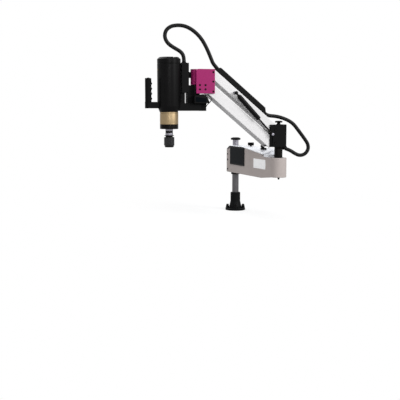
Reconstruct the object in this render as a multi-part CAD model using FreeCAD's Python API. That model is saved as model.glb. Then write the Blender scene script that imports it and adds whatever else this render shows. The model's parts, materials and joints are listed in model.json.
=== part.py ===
# Arm tapping machine: a column on a flanged base, a horizontal arm, an elbow block, a parallelogram
# arm with a gas spring, and a tapping head with a quick-change chuck that always stays upright.
# Millimetres. The origin is on the column's axis at the underside of the base. +Z is up, the
# parallelogram lies in the XZ plane, and the head points to -X.
import FreeCAD, Part
import math
import os

V = FreeCAD.Vector
os.makedirs("parts", exist_ok=True)

# Fits and shared clearances
OVERRUN = 2.0           # how far a cutting tool runs past what it cuts
FIT = 0.05              # radial running fit of a shaft in its bearing
SEAT = 0.3              # gap beside a curved face that another body moves past
SIDE_GAP = 1.0          # side play between a link and its cheek

# Base
base_radius = 61.0
base_flange_height = 14.0
base_flare_radius = 37.0
base_flare_height = 25.0
base_boss_radius = 30.0
base_boss_foot = 56.0
base_height = 110.0
base_bore_floor = 10.0
base_edge = 2.0
bolt_circle_radius = 48.0
bolt_count = 4
bolt_hole_radius = 5.5
bolt_first_angle = -18.0
bolt_boss_radius = 10.5
bolt_boss_height = 12.0
bolt_head_radius = 8.0
bolt_head_height = 10.0
bolt_socket_radius = 4.0
bolt_socket_depth = 5.0
bolt_shank_radius = 5.3
bolt_stud_radius = 5.0
bolt_stud_length = 24.0

# Column
column_radius = 20.0
column_neck_radius = 18.5
column_neck_height = 33.0
column_cap_radius = 30.0
column_cap_height = 15.0
column_cap_edge = 2.5
collar_radius = 27.0
collar_height = 14.0
collar_gap = 0.3

# Horizontal arm, drawn along -Y and then swung to its rest angle
arm_reach = 570.0
arm_rest_swing = 3.67
arm_half_width = 45.0
arm_underside = 236.0
arm_height = 163.0
arm_back = 42.0
arm_back_slope_length = 52.0
arm_back_slope_drop = 27.0
arm_corner = 8.0
arm_step_length = 90.0     # from the elbow's axis back to the step
arm_step_height = 135.0
arm_shelf_margin = 43.0
arm_shelf_height = 120.0
arm_taper_length = 125.0
arm_taper_rise = 13.0
arm_bevel_length = 365.0
arm_bevel_end_margin = 25.0
arm_bevel_drop = 28.0
arm_wall = 6.0
arm_cover_thickness = 4.0
arm_pocket_start = 44.0
arm_pocket_margin = 108.0
arm_bearing_radius = 27.0
arm_bearing_length = 22.0
arm_bore_relief = 2.0
panel_start = 22.0
panel_end = 228.0
panel_bottom = 286.0
panel_thickness = 3.0
panel_top_margin = 4.0
side_screw_y = 18.0
side_screw_heights = (254.0, 312.0, 346.0)
screw_head_radius = 5.0
screw_head_height = 3.0
under_screw_radius = 6.0
under_screw_height = 13.0
drive_length = 220.0
drive_width = 56.0
drive_height = 70.0
drive_start = 120.0
inlet_length = 50.0
inlet_height = 30.0
inlet_depth = 8.0
inlet_at = 90.0
inlet_z = 290.0
inlet_socket_margin = 8.0

# Knobs on the horizontal arm
brake_knob_at = 166.0
brake_knob_side = 25.0
brake_knob_radius = 18.0
brake_knob_height = 18.0
brake_stem_radius = 6.0
brake_stem_height = 5.0
brake_screw_depth = 60.0
knob_flutes = 6
knob_flute_radius = 5.0
clamp_lever_margin = 160.0
clamp_lever_side = -12.0
clamp_hub_radius = 17.0
clamp_boss_radius = 13.0
clamp_hub_height = 10.0
clamp_boss_height = 156.0
clamp_lever_length = 10.0
clamp_lever_radius = 8.0
clamp_lever_rise = 12.0
clamp_screw_depth = 30.0

# Elbow
elbow_shaft_radius = 22.5
elbow_shaft_gap = 1.0
elbow_bearing_radius = 30.0
elbow_bearing_length = 24.0
elbow_floor = 10.0
block_front = -71.5
block_back = 26.5
block_half_depth = 50.0
block_bottom = 417.0
block_top = 538.0
block_cheek = 9.0
block_core_start = -14.5
block_core_radius = 26.0
block_edge = 5.0
block_recess_depth = 5.0
block_recess_width = 15.0
block_recess_top = 478.0
block_notch_top = 500.0
rear_cap_radius = 21.0
rear_cap_height = 10.0
rear_cap_edge = 2.0
rear_neck_radius = 9.0
rear_neck_height = 9.5

# Parallelogram
link_length = 466.0
link_rest_angle = 39.4
link_half_width = 40.0
pivot_x = -38.0
upper_pivot_z = 509.0
lower_pivot_z = 437.0
upper_above = 26.0
upper_below = 18.0
upper_end_radius = 20.0
lower_above = 16.6
lower_below = 38.9
lower_end_radius = 18.0
lower_front_extra = 8.0
lower_rear_start = 8.5
lower_rear_rise = 21.0
fork_half_width = 28.5
fork_depth = 34.0
link_wall = 6.0
link_core_margin = 60.0
pin_radius = 7.0
pin_head_radius = 8.0
pin_head_height = 3.0
bush_radius = 10.0
bush_length = 11.0

# Cable cover on the upper link
cover_half_width = 28.0
cover_height = 34.0
cover_wall = 3.0
cover_front = 469.0
cover_front_slope = 25.0
cover_rear = 82.0
cover_rear_slope = 37.0

# Gas spring, from a stud on the upper link to a stud on the elbow block
spring_upper_at = 305.0
spring_upper_offset = 4.0
spring_lower_x = -60.8
spring_lower_z = 486.3
spring_side = 58.0
spring_cylinder_radius = 10.8
spring_bore_radius = 8.6
spring_cylinder_start = 23.0
spring_cylinder_length = 166.0
spring_end_wall = 6.0
spring_rod_radius = 4.2
spring_guide_radius = 8.2
spring_rod_reach = 215.0
spring_piston_radius = 4.9
spring_piston_length = 10.0
spring_eye_radius = 8.0
spring_eye_half_width = 5.0
spring_neck_radius = 5.0
stud_radius = 4.0
stud_head_radius = 7.5
stud_head_height = 4.6
upper_stud_head_radius = 9.4

# Front bracket
bracket_left = -88.4
bracket_right = 12.6
bracket_half_width = 50.0
bracket_cheek = 7.0
bracket_bottom = -102.8
bracket_top = 23.2
bracket_corner = 12.0
bracket_block_end = -34.4
bracket_block_bottom = -56.8
knuckle_at = -78.4
knuckle_radius = 26.0
bracket_screw_radius = 5.2
bracket_screw_height = 2.2
bracket_edge_screw_inset = 9.0
bracket_edge_screw_heights = (7.4, -41.2, -92.6)
bracket_group_x = (-70.0, -39.0)
bracket_group_z = (-59.8, -81.8)

# Tapping head: lengths along X from the swivel axis in the knuckle, heights from the head's level
head_level_drop = 804.785   # from the parallelogram's upper front pivot down to the head's level
swivel_shaft_radius = 18.0
swivel_bearing_radius = 21.5
swivel_bearing_length = 18.0
swivel_boss_radius = 23.0
swivel_boss_bottom = 652.0
swivel_boss_gap = 2.0
swivel_shaft_cap = 3.0
head_offset = 144.0
spine_front = 81.5
spine_back = 44.0
spine_half_width = 28.0
spine_bottom = 707.0
spine_top = 859.0
web_half_width = 15.0
web_top = 745.0
slit_front = 62.0
slit_back = 50.0
foot_bottom = 612.0
foot_top = 652.0
foot_half_width = 30.0
lock_half_width = 9.0
lock_bottom = 782.0
lock_top = 813.0
lock_screw_radius = 4.0
lock_screw_length = 8.0

cover_radius = 61.0
cover_shell = 3.0
cover_bottom_radius = 49.0
cover_bottom = 606.0
cover_taper_top = 637.0
cover_top = 854.0
cap_height = 33.5
cap_seam = 1.5
cap_radius = 59.5
cap_dome = 10.0
cap_top_wall = 10.0
cap_groove_at = 10.0
cap_groove_width = 12.0
cap_groove_depth = 6.0
gearbox_radius = 52.0
gearbox_top = 712.0
gearbox_step = 46.0
motor_radius = 54.0
motor_top = 836.0
module_radius = 48.0
module_bottom = 542.5
module_groove = 1.2
module_groove_height = 2.0
ring_radius = 48.0
ring_bottom = 518.0
ring_edge = 2.0

# Spindle and quick-change chuck
spindle_radius = 20.0
spindle_top = 640.0
spindle_bore_radius = 9.5
spindle_bore_depth = 40.0
spindle_bearing_radius = 30.0
spindle_bearing_length = 14.0
spindle_bearing_low = 550.0
spindle_bearing_high = 588.0
spindle_groove_depth = 2.0
spindle_groove_height = 4.0
chuck_core_radius = 19.0
chuck_bottom = 423.0
chuck_top = 485.5
sleeve_radius = 27.0
sleeve_clearance = 0.3
sleeve_bottom = 431.0
sleeve_top = 476.0
sleeve_edge = 3.0
sleeve_travel = 6.0
sleeve_flutes = 24
sleeve_flute_radius = 1.6
chuck_nose_radius = 24.0
chuck_collar_radius = 25.5

# Handle
bar_half_width = 22.0
bar_gap = 0.3
bar_bottom = 625.0
bar_right = -53.0
bar_right_bottom = 611.5
bar_right_top = 648.0
bar_arm_height = 33.0
bar_arm_half_width = 17.5
bar_ridges = 5
bar_ridge_depth = 1.2
bar_ridge_width = 2.4
grip_x = 255.0
grip_radius = 16.5
grip_length = 152.0
grip_bumps = 4
grip_bump_radius = 18.6
grip_bump_pitch_share = 0.169
grip_bump_shift = 2.2
grip_first_bump_share = 0.325
button_radius = 5.5
button_height = 8.0
button_spread = 8.0
button_well = 9.0
button_proud = 5.0

# Control box and its lead
box_near = 60.0
box_far = 30.5
box_left = -24.0
box_right = 48.0
box_bottom = 651.0
box_top = 698.5
box_peak = 24.0
box_left_drop = 8.0
box_right_drop = 15.0
box_nose = 62.0
screen_margin = 7.0
screen_thickness = 1.5

# Cables
cable_diameter = 20.0
lead_diameter = 4.0
arc_run_share = 0.45
head_cable_split_count = 7   # runs of the cable before the split
head_gland_length = 8.0
rear_gland_length = 20.0
gland_radius = 14.0
link_cable_rise = 12.9
link_cable_bend_at = 458.0
link_cable_start_at = 493.8
link_cable_start_rise = 31.7
link_cable_end_at = 106.0

# Derived places
arm_step_at = arm_reach - arm_step_length
arm_shelf_end = arm_reach - arm_shelf_margin
arm_taper_at = arm_reach - arm_taper_length
arm_bevel_start = arm_reach - arm_bevel_length
arm_bevel_end = arm_reach - arm_bevel_end_margin
arm_pocket_end = arm_reach - arm_pocket_margin
clamp_lever_at = arm_reach - clamp_lever_margin
cap_top = cover_top + cap_height
bar_top = bar_bottom + bar_arm_height
grip_top = bar_bottom + grip_length
grip_first_bump = bar_bottom + grip_length * grip_first_bump_share
grip_bump_pitch = grip_length * grip_bump_pitch_share
elbow_x = arm_reach * math.sin(math.radians(arm_rest_swing))
elbow_y = -arm_reach * math.cos(math.radians(arm_rest_swing))
rear_x = elbow_x + pivot_x
cos_rest = math.cos(math.radians(link_rest_angle))
sin_rest = math.sin(math.radians(link_rest_angle))
front_x = rear_x - link_length * cos_rest
front_rise = link_length * sin_rest
upper_front_z = upper_pivot_z + front_rise
lower_front_z = lower_pivot_z + front_rise
arm_top = arm_underside + arm_height
head_level = upper_front_z - head_level_drop
swivel_x = front_x + knuckle_at
head_x = swivel_x - head_offset
Y_AXIS = V(0, 1, 0)
Z_AXIS = V(0, 0, 1)


def box(x0, x1, y0, y1, z0, z1):
    return Part.makeBox(x1 - x0, y1 - y0, z1 - z0, V(x0, y0, z0))


def post(x, y, z0, z1, radius):
    return Part.makeCylinder(radius, z1 - z0, V(x, y, z0), Z_AXIS)


def rod_y(x, z, y0, y1, radius):
    return Part.makeCylinder(radius, y1 - y0, V(x, y0, z), Y_AXIS)


def rod_between(start, end, radius):
    run = end.sub(start)
    return Part.makeCylinder(radius, run.Length, start, run)


def plate_y(points, y0, y1):
    corners = [V(x, y0, z) for x, z in points]
    face = Part.Face(Part.makePolygon(corners + [corners[0]]))
    return face.extrude(V(0, y1 - y0, 0))


def plate_z(points, z0, z1):
    corners = [V(x, y, z0) for x, y in points]
    face = Part.Face(Part.makePolygon(corners + [corners[0]]))
    return face.extrude(V(0, 0, z1 - z0))


def turned(profile, x, y):
    """A solid of revolution about a vertical axis, from (radius, height) points."""
    corners = [V(x + radius, y, z) for radius, z in profile]
    face = Part.Face(Part.makePolygon(corners + [corners[0]]))
    return face.revolve(V(x, y, 0), Z_AXIS, 360)


def fused(shapes):
    whole = shapes[0]
    for shape in shapes[1:]:
        whole = whole.fuse(shape)
    return whole.removeSplitter()


def cut_all(shape, tools):
    for tool in tools:
        shape = shape.cut(tool)
    return shape


def swing(shape):
    shape.rotate(V(0, 0, 0), Z_AXIS, arm_rest_swing)
    return shape


def lifted(shape, z):
    """Carries a link drawn along -X from the origin to its rest pose on the pivot at height z."""
    shape.rotate(V(0, 0, 0), Y_AXIS, link_rest_angle)
    shape.translate(V(rear_x, elbow_y, z))
    return shape


def save(name, shape):
    if shape.ShapeType == "Compound" and len(shape.Solids) == 1:
        shape = shape.Solids[0]
    shape.exportStep("parts/" + name + ".step")
    print(name, len(shape.Solids), round(shape.Volume), shape.isValid())


def save_on_head(name, shape):
    """The head's pieces are drawn from its level, which follows the parallelogram's front end."""
    shape.translate(V(0, 0, head_level))
    save(name, shape)


def bolt_places():
    for index in range(bolt_count):
        angle = math.radians(bolt_first_angle + index * 360 / bolt_count)
        yield bolt_circle_radius * math.cos(angle), bolt_circle_radius * math.sin(angle)


def build_base():
    body = turned([(0, 0), (base_radius, 0), (base_radius, base_flange_height - base_edge),
                   (base_radius - base_edge, base_flange_height), (base_flare_radius, base_flange_height),
                   (base_flare_radius, base_flare_height), (base_boss_radius, base_boss_foot),
                   (base_boss_radius, base_height - base_edge),
                   (base_boss_radius - base_edge, base_height), (0, base_height)], 0, 0)
    bosses = []
    holes = []
    bolts = []
    seat = base_flange_height + bolt_boss_height
    for x, y in bolt_places():
        bosses.append(post(x, y, 0, seat, bolt_boss_radius))
        holes.append(post(x, y, -OVERRUN, seat + OVERRUN, bolt_hole_radius))
        bolt = post(x, y, 0, seat, bolt_shank_radius).fuse(post(x, y, -bolt_stud_length, 0, bolt_stud_radius))
        head = post(x, y, seat, seat + bolt_head_height, bolt_head_radius)
        socket = post(x, y, seat + bolt_head_height - bolt_socket_depth,
                      seat + bolt_head_height + OVERRUN, bolt_socket_radius)
        bolts.append(bolt.fuse(head).cut(socket))
    body = fused([body] + bosses)
    bore = post(0, 0, base_bore_floor, base_height + OVERRUN, column_radius)
    body = cut_all(body, holes + [bore])
    save("base_flange", body)
    save("base_bolts", Part.makeCompound(bolts))

    neck_top = arm_top + column_neck_height
    column = post(0, 0, base_bore_floor, arm_top, column_radius)
    neck = post(0, 0, arm_top, neck_top, column_neck_radius)
    save("column", fused([column, neck]))
    cap_top_z = neck_top + column_cap_height
    inner = column_cap_radius - column_cap_edge
    cap = turned([(0, neck_top), (inner, neck_top), (column_cap_radius, neck_top + column_cap_edge),
                  (column_cap_radius, cap_top_z - column_cap_edge), (inner, cap_top_z), (0, cap_top_z)], 0, 0)
    save("column_cap", cap)
    collar_top = arm_underside - collar_gap
    collar = post(0, 0, collar_top - collar_height, collar_top, collar_radius)
    save("column_collar", collar.cut(post(0, 0, 0, arm_top, column_radius)))


def arm_envelope():
    """The horizontal arm's outer form along -Y, before its walls and bores."""
    step_top = arm_underside + arm_step_height
    shelf_top = arm_underside + arm_shelf_height
    profile = [(arm_back, arm_underside), (arm_back, arm_top - arm_back_slope_drop),
               (arm_back - arm_back_slope_length, arm_top), (-arm_step_at, arm_top), (-arm_step_at, step_top),
               (-arm_shelf_end, step_top), (-arm_shelf_end, shelf_top),
               (-arm_reach - arm_half_width, shelf_top),
               (-arm_reach - arm_half_width, arm_underside + arm_taper_rise),
               (-arm_reach, arm_underside + arm_taper_rise), (-arm_taper_at, arm_underside)]
    corners = [V(-arm_half_width, y, z) for y, z in profile]
    face = Part.Face(Part.makePolygon(corners + [corners[0]]))
    body = face.extrude(V(arm_half_width + arm_half_width, 0, 0))
    low = arm_underside - OVERRUN
    high = arm_top + OVERRUN
    plan = plate_z([(-arm_half_width, -arm_reach), (arm_half_width, -arm_reach),
                    (arm_half_width, arm_back - arm_corner), (arm_half_width - arm_corner, arm_back),
                    (arm_corner - arm_half_width, arm_back), (-arm_half_width, arm_back - arm_corner)],
                   low, high)
    plan = plan.fuse(post(0, -arm_reach, low, high, arm_half_width))
    body = body.common(plan)
    # The near top edge falls away towards the elbow, and the bevel runs out at the far edge.
    start = V(-arm_half_width, -arm_bevel_start, arm_top)
    far = V(arm_half_width, -arm_bevel_end, arm_top)
    low_corner = V(-arm_half_width, -arm_step_at, arm_top - arm_bevel_drop)
    along = low_corner.sub(start)
    across = far.sub(start)
    normal = along.cross(across)
    if normal.z < 0:
        normal = normal.negative()
    normal.normalize()
    stretch = [start.sub(along), low_corner.add(along), far.add(along), far.sub(along).sub(along)]
    wedge_face = Part.Face(Part.makePolygon(stretch + [stretch[0]]))
    wedge = wedge_face.extrude(normal * arm_bevel_drop)
    near_side = box(-arm_half_width - OVERRUN, arm_half_width + OVERRUN, -arm_step_at - OVERRUN,
                    -arm_bevel_start, arm_top - arm_bevel_drop - OVERRUN, arm_top + arm_bevel_drop)
    return body.cut(wedge.common(near_side))


def build_arm():
    envelope = arm_envelope()
    lower = envelope.copy()
    lower.translate(V(0, arm_cover_thickness, -arm_cover_thickness))
    shelf = box(-arm_half_width - OVERRUN, arm_half_width + OVERRUN, -arm_shelf_end, -arm_step_at,
                arm_underside + arm_shelf_height, arm_top)
    front_only = box(-arm_half_width - OVERRUN, arm_half_width + OVERRUN,
                     -arm_reach - arm_half_width - OVERRUN, -arm_shelf_end, 0, arm_top)
    skin = envelope.cut(lower).cut(front_only)
    above = box(-arm_half_width - OVERRUN, arm_half_width + OVERRUN, -arm_shelf_end - OVERRUN,
                arm_back + OVERRUN, arm_underside + arm_shelf_height, arm_top + OVERRUN)
    cover = skin.common(above).fuse(envelope.common(shelf)).removeSplitter()
    casting = envelope.cut(cover)

    pocket = box(arm_wall - arm_half_width, arm_half_width - arm_wall, -arm_pocket_end, -arm_pocket_start,
                 arm_underside + arm_wall, arm_top + OVERRUN)
    bore_radius = column_radius + arm_bore_relief
    column_bore = post(0, 0, arm_underside - OVERRUN, arm_top + OVERRUN, bore_radius)
    top_bearing = arm_top - arm_back_slope_drop - arm_cover_thickness
    seats = [post(0, 0, arm_underside - OVERRUN, arm_underside + arm_bearing_length, arm_bearing_radius),
             post(0, 0, top_bearing - arm_bearing_length, arm_top + OVERRUN, arm_bearing_radius)]
    elbow_low = arm_underside + arm_taper_rise + elbow_floor
    elbow_high = arm_underside + arm_shelf_height
    elbow_bore = post(0, -arm_reach, elbow_low, elbow_high + OVERRUN, elbow_shaft_radius + arm_bore_relief)
    elbow_seats = [post(0, -arm_reach, elbow_low, elbow_low + elbow_bearing_length, elbow_bearing_radius),
                   post(0, -arm_reach, elbow_high - elbow_bearing_length, elbow_high + OVERRUN,
                        elbow_bearing_radius)]
    brake_x = brake_knob_side
    brake_y = -brake_knob_at
    lever_y = -clamp_lever_at
    stem_clear = brake_stem_radius + SEAT
    tools = [post(brake_x, brake_y, arm_underside + arm_wall, arm_top + OVERRUN, stem_clear),
             post(clamp_lever_side, lever_y, arm_underside + arm_wall, arm_top + OVERRUN, stem_clear)]
    casting = cut_all(casting, [pocket, column_bore] + seats + [elbow_bore] + elbow_seats)
    lever_seat = arm_underside + clamp_boss_height
    lever_boss = post(clamp_lever_side, lever_y, arm_underside + arm_step_height, lever_seat,
                      clamp_boss_radius)
    lever_room = post(clamp_lever_side, lever_y, lever_seat, arm_top + OVERRUN, clamp_hub_radius + SIDE_GAP)
    cover = cut_all(cover.fuse(lever_boss).removeSplitter(), tools + [column_bore, lever_room])
    save("arm_casting", swing(casting))
    save("arm_cover", swing(cover))

    bearings = []
    for bottom in (arm_underside, top_bearing - arm_bearing_length):
        top = bottom + arm_bearing_length
        ring = post(0, 0, bottom, top, arm_bearing_radius)
        bearings.append(ring.cut(post(0, 0, bottom - OVERRUN, top + OVERRUN, column_radius + FIT)))
    save("column_bearings", swing(Part.makeCompound(bearings)))
    bearings = []
    for bottom in (elbow_low, elbow_high - elbow_bearing_length):
        top = bottom + elbow_bearing_length
        ring = post(0, -arm_reach, bottom, top, elbow_bearing_radius)
        bearings.append(ring.cut(post(0, -arm_reach, bottom - OVERRUN, top + OVERRUN,
                                      elbow_shaft_radius + FIT)))
    save("elbow_bearings", swing(Part.makeCompound(bearings)))

    panel = box(-arm_half_width - panel_thickness, -arm_half_width, -panel_end, -panel_start,
                panel_bottom, arm_top - panel_top_margin)
    save("side_panel", swing(panel))
    screws = []
    for side in (-1, 1):
        for z in side_screw_heights:
            start = V(side * arm_half_width, side_screw_y, z)
            screws.append(rod_between(start, start.add(V(side * screw_head_height, 0, 0)), screw_head_radius))
    under = arm_underside + arm_taper_rise
    screws.append(post(0, -arm_reach - under_screw_radius, under - under_screw_height, under,
                       under_screw_radius))
    save("arm_screws", swing(Part.makeCompound(screws)))
    half = drive_width / 2
    floor = arm_underside + arm_wall
    drive = box(-half, half, -drive_start - drive_length, -drive_start, floor, floor + drive_height)
    save("drive_controller", swing(drive))
    inlet = box(arm_half_width, arm_half_width + inlet_depth, -inlet_at - inlet_length, -inlet_at,
                inlet_z, inlet_z + inlet_height)
    socket = box(arm_half_width + inlet_depth / 2, arm_half_width + inlet_depth + OVERRUN,
                 -inlet_at - inlet_length + inlet_socket_margin, -inlet_at - inlet_socket_margin,
                 inlet_z + inlet_socket_margin, inlet_z + inlet_height - inlet_socket_margin)
    save("power_inlet", swing(inlet.cut(socket)))

    knob_bottom = arm_top + brake_stem_height
    knob = post(brake_x, brake_y, knob_bottom, knob_bottom + brake_knob_height, brake_knob_radius)
    for index in range(knob_flutes):
        angle = 2 * math.pi * index / knob_flutes
        x = brake_x + brake_knob_radius * math.cos(angle)
        y = brake_y + brake_knob_radius * math.sin(angle)
        knob = knob.cut(post(x, y, knob_bottom - OVERRUN, knob_bottom + brake_knob_height + OVERRUN,
                             knob_flute_radius))
    stem = post(brake_x, brake_y, arm_top - brake_screw_depth, knob_bottom, brake_stem_radius)
    save("brake_knob", swing(fused([knob, stem])))

    hub_bottom = lever_seat + SEAT
    hub = post(clamp_lever_side, lever_y, hub_bottom, hub_bottom + clamp_hub_height, clamp_hub_radius)
    screw = post(clamp_lever_side, lever_y, hub_bottom - clamp_screw_depth, hub_bottom, brake_stem_radius)
    lever_start = V(clamp_lever_side, lever_y, hub_bottom + clamp_lever_radius)
    lever_end = lever_start.add(V(-clamp_lever_length, 0, clamp_lever_rise))
    lever = rod_between(lever_start, lever_end, clamp_lever_radius)
    tip = Part.makeSphere(clamp_lever_radius, lever_end)
    save("clamp_lever", swing(fused([hub, screw, lever, tip])))


def pivot_pins(x, heights, half_width):
    """Headed pins across the two cheeks of a fork, with the heads on the far side."""
    pins = []
    for z in heights:
        far = elbow_y + half_width
        pin = rod_y(x, z, elbow_y - half_width, far, pin_radius)
        head = rod_y(x, z, far, far + pin_head_height, pin_head_radius)
        pins.append(fused([pin, head]))
    return Part.makeCompound(pins)


def build_elbow():
    front = elbow_x + block_front
    back = elbow_x + block_back
    near = elbow_y - block_half_depth
    far = elbow_y + block_half_depth
    block = box(front, back, near, far, block_bottom, block_top)
    uprights = [edge for edge in block.Edges if abs(edge.Vertexes[0].Z - edge.Vertexes[-1].Z) > block_edge]
    block = block.makeFillet(block_edge, uprights)
    slot_half = block_half_depth - block_cheek
    slot = box(front - OVERRUN, elbow_x + block_core_start, elbow_y - slot_half, elbow_y + slot_half,
               block_bottom - OVERRUN, block_top + OVERRUN)
    core = post(elbow_x, elbow_y, block_bottom, block_top, block_core_radius)
    recess_depth = near + block_recess_depth
    recess_end = front + block_recess_width
    recess = plate_y([(front - OVERRUN, block_bottom - OVERRUN), (recess_end, block_bottom - OVERRUN),
                      (recess_end, block_recess_top), (front - OVERRUN, block_notch_top)],
                     near - OVERRUN, recess_depth)
    block = block.cut(slot).fuse(core).cut(recess)
    shaft_hole = post(elbow_x, elbow_y, block_bottom - OVERRUN, block_top + OVERRUN, elbow_shaft_radius)
    pin_holes = [rod_y(rear_x, z, near - OVERRUN, far + OVERRUN, pin_radius)
                 for z in (upper_pivot_z, lower_pivot_z)]
    stud_x = elbow_x + spring_lower_x
    stud_hole = rod_y(stud_x, spring_lower_z, near - OVERRUN, near + block_cheek + OVERRUN, stud_radius)
    block = cut_all(block, [shaft_hole] + pin_holes + [stud_hole])
    save("elbow_block", block)
    shaft_foot = arm_underside + arm_taper_rise + elbow_floor + elbow_shaft_gap
    save("elbow_shaft", post(elbow_x, elbow_y, shaft_foot, block_top, elbow_shaft_radius))
    cap_bottom = block_top + rear_neck_height
    cap_top_z = cap_bottom + rear_cap_height
    inner = rear_cap_radius - rear_cap_edge
    save("elbow_cap", turned([(0, block_top), (rear_neck_radius, block_top), (rear_neck_radius, cap_bottom),
                              (inner, cap_bottom), (rear_cap_radius, cap_bottom + rear_cap_edge),
                              (rear_cap_radius, cap_top_z - rear_cap_edge), (inner, cap_top_z),
                              (0, cap_top_z)], elbow_x, elbow_y))
    save("rear_pins", pivot_pins(rear_x, (upper_pivot_z, lower_pivot_z), block_half_depth))
    eye_near = elbow_y - spring_side - spring_eye_half_width
    eye_far = elbow_y - spring_side + spring_eye_half_width
    stud = rod_y(stud_x, spring_lower_z, eye_near - stud_head_height, near + block_cheek, stud_radius)
    head = rod_y(stud_x, spring_lower_z, eye_near - stud_head_height, eye_near - SEAT, stud_head_radius)
    collar = rod_y(stud_x, spring_lower_z, eye_far + SEAT, near, stud_head_radius)
    save("spring_lower_stud", fused([stud, head, collar]))


def upper_outline():
    body = plate_y([(0, -upper_below), (0, upper_above), (-link_length, upper_above),
                    (-link_length, -upper_below)], -link_half_width, link_half_width)
    ends = [rod_y(x, 0, -link_half_width, link_half_width, upper_end_radius) for x in (0, -link_length)]
    return fused([body] + ends)


def lower_outline():
    corner = lower_rear_start + lower_rear_rise * sin_rest / cos_rest
    front = link_length + lower_front_extra
    body = plate_y([(-lower_rear_start, -lower_below), (-corner, -lower_below + lower_rear_rise),
                    (0, lower_above), (-front, lower_above), (-front, -lower_below)],
                   -link_half_width, link_half_width)
    ends = [rod_y(x, 0, -link_half_width, link_half_width, lower_end_radius) for x in (0, -link_length)]
    return fused([body] + ends)


def fork_and_bores(shape, above, below):
    """Opens the rear fork, hollows the middle and bores both ends for their bushes."""
    reach = link_half_width + OVERRUN
    slot = box(-fork_depth, fork_depth, -fork_half_width, fork_half_width,
               -below - fork_depth, above + fork_depth)
    core = box(-link_length + link_core_margin, -link_core_margin, link_wall - link_half_width,
               link_half_width - link_wall, link_wall - below, above - link_wall)
    bores = [rod_y(x, 0, -reach, reach, bush_radius) for x in (0, -link_length)]
    return cut_all(shape, [slot, core] + bores)


def link_bushes(z):
    bushes = []
    for x in (0, -link_length):
        for side in (-1, 1):
            outer = side * link_half_width
            inner = side * (link_half_width - bush_length)
            low, high = min(outer, inner), max(outer, inner)
            ring = rod_y(x, 0, low, high, bush_radius)
            bushes.append(ring.cut(rod_y(x, 0, low - OVERRUN, high + OVERRUN, pin_radius + FIT)))
    return lifted(Part.makeCompound(bushes), z)


def build_links():
    upper = fork_and_bores(upper_outline(), upper_above, upper_below)
    stud_at = -spring_upper_at
    stud_end = link_wall - link_half_width
    stud_hole = rod_y(stud_at, spring_upper_offset, -link_half_width - OVERRUN, stud_end, stud_radius)
    save("upper_link", lifted(upper.cut(stud_hole), upper_pivot_z))
    lower = fork_and_bores(lower_outline(), lower_above, lower_below)
    save("lower_link", lifted(lower, lower_pivot_z))
    save("upper_bushes", link_bushes(upper_pivot_z))
    save("lower_bushes", link_bushes(lower_pivot_z))

    top = upper_above + cover_height
    outline = [(-cover_front, upper_above), (cover_front_slope - cover_front, top),
               (-cover_rear - cover_rear_slope, top), (-cover_rear, upper_above)]
    cover = plate_y(outline, -cover_half_width, cover_half_width)
    # The channel for the cable is open at both ends and to the link below.
    channel = box(-cover_front - OVERRUN, OVERRUN - cover_rear, cover_wall - cover_half_width,
                  cover_half_width - cover_wall, upper_above - OVERRUN, top - cover_wall)
    save("cable_cover", lifted(cover.cut(channel), upper_pivot_z))

    eye_near = -spring_side - spring_eye_half_width
    eye_far = spring_eye_half_width - spring_side
    stud = rod_y(stud_at, spring_upper_offset, eye_near - stud_head_height, stud_end, stud_radius)
    collar = rod_y(stud_at, spring_upper_offset, eye_far + SEAT, -link_half_width, stud_head_radius)
    head = rod_y(stud_at, spring_upper_offset, eye_near - stud_head_height, eye_near - SEAT,
                 upper_stud_head_radius)
    save("spring_upper_stud", lifted(fused([stud, collar, head]), upper_pivot_z))


def build_spring():
    y = elbow_y - spring_side
    lower = V(elbow_x + spring_lower_x, y, spring_lower_z)
    upper = V(rear_x - spring_upper_at * cos_rest + spring_upper_offset * sin_rest, y,
              upper_pivot_z + spring_upper_at * sin_rest + spring_upper_offset * cos_rest)
    run = lower.sub(upper)
    run.normalize()

    def along(start, distance):
        return start.add(V(run.x * distance, run.y * distance, run.z * distance))

    def eye(centre):
        ring = rod_y(centre.x, centre.z, y - spring_eye_half_width, y + spring_eye_half_width,
                     spring_eye_radius)
        hole = rod_y(centre.x, centre.z, y - spring_eye_half_width - OVERRUN,
                     y + spring_eye_half_width + OVERRUN, stud_radius + FIT)
        return ring, hole

    ring, hole = eye(upper)
    neck = rod_between(upper, along(upper, spring_cylinder_start), spring_neck_radius)
    end = spring_cylinder_start + spring_cylinder_length
    tube = rod_between(along(upper, spring_cylinder_start), along(upper, end), spring_cylinder_radius)
    bore_start = along(upper, spring_cylinder_start + spring_end_wall)
    bore = rod_between(bore_start, along(upper, end - spring_end_wall), spring_bore_radius)
    guide = rod_between(along(upper, end - spring_end_wall - OVERRUN), along(upper, end + OVERRUN),
                        spring_guide_radius)
    save("spring_cylinder", cut_all(fused([ring, neck, tube]), [hole, bore, guide]))

    ring, hole = eye(lower)
    tip = along(lower, -spring_rod_reach)
    rod = rod_between(lower, tip, spring_rod_radius)
    piston = rod_between(tip, along(tip, spring_piston_length), spring_piston_radius)
    save("spring_rod", fused([ring, rod, piston]).cut(hole))


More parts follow.
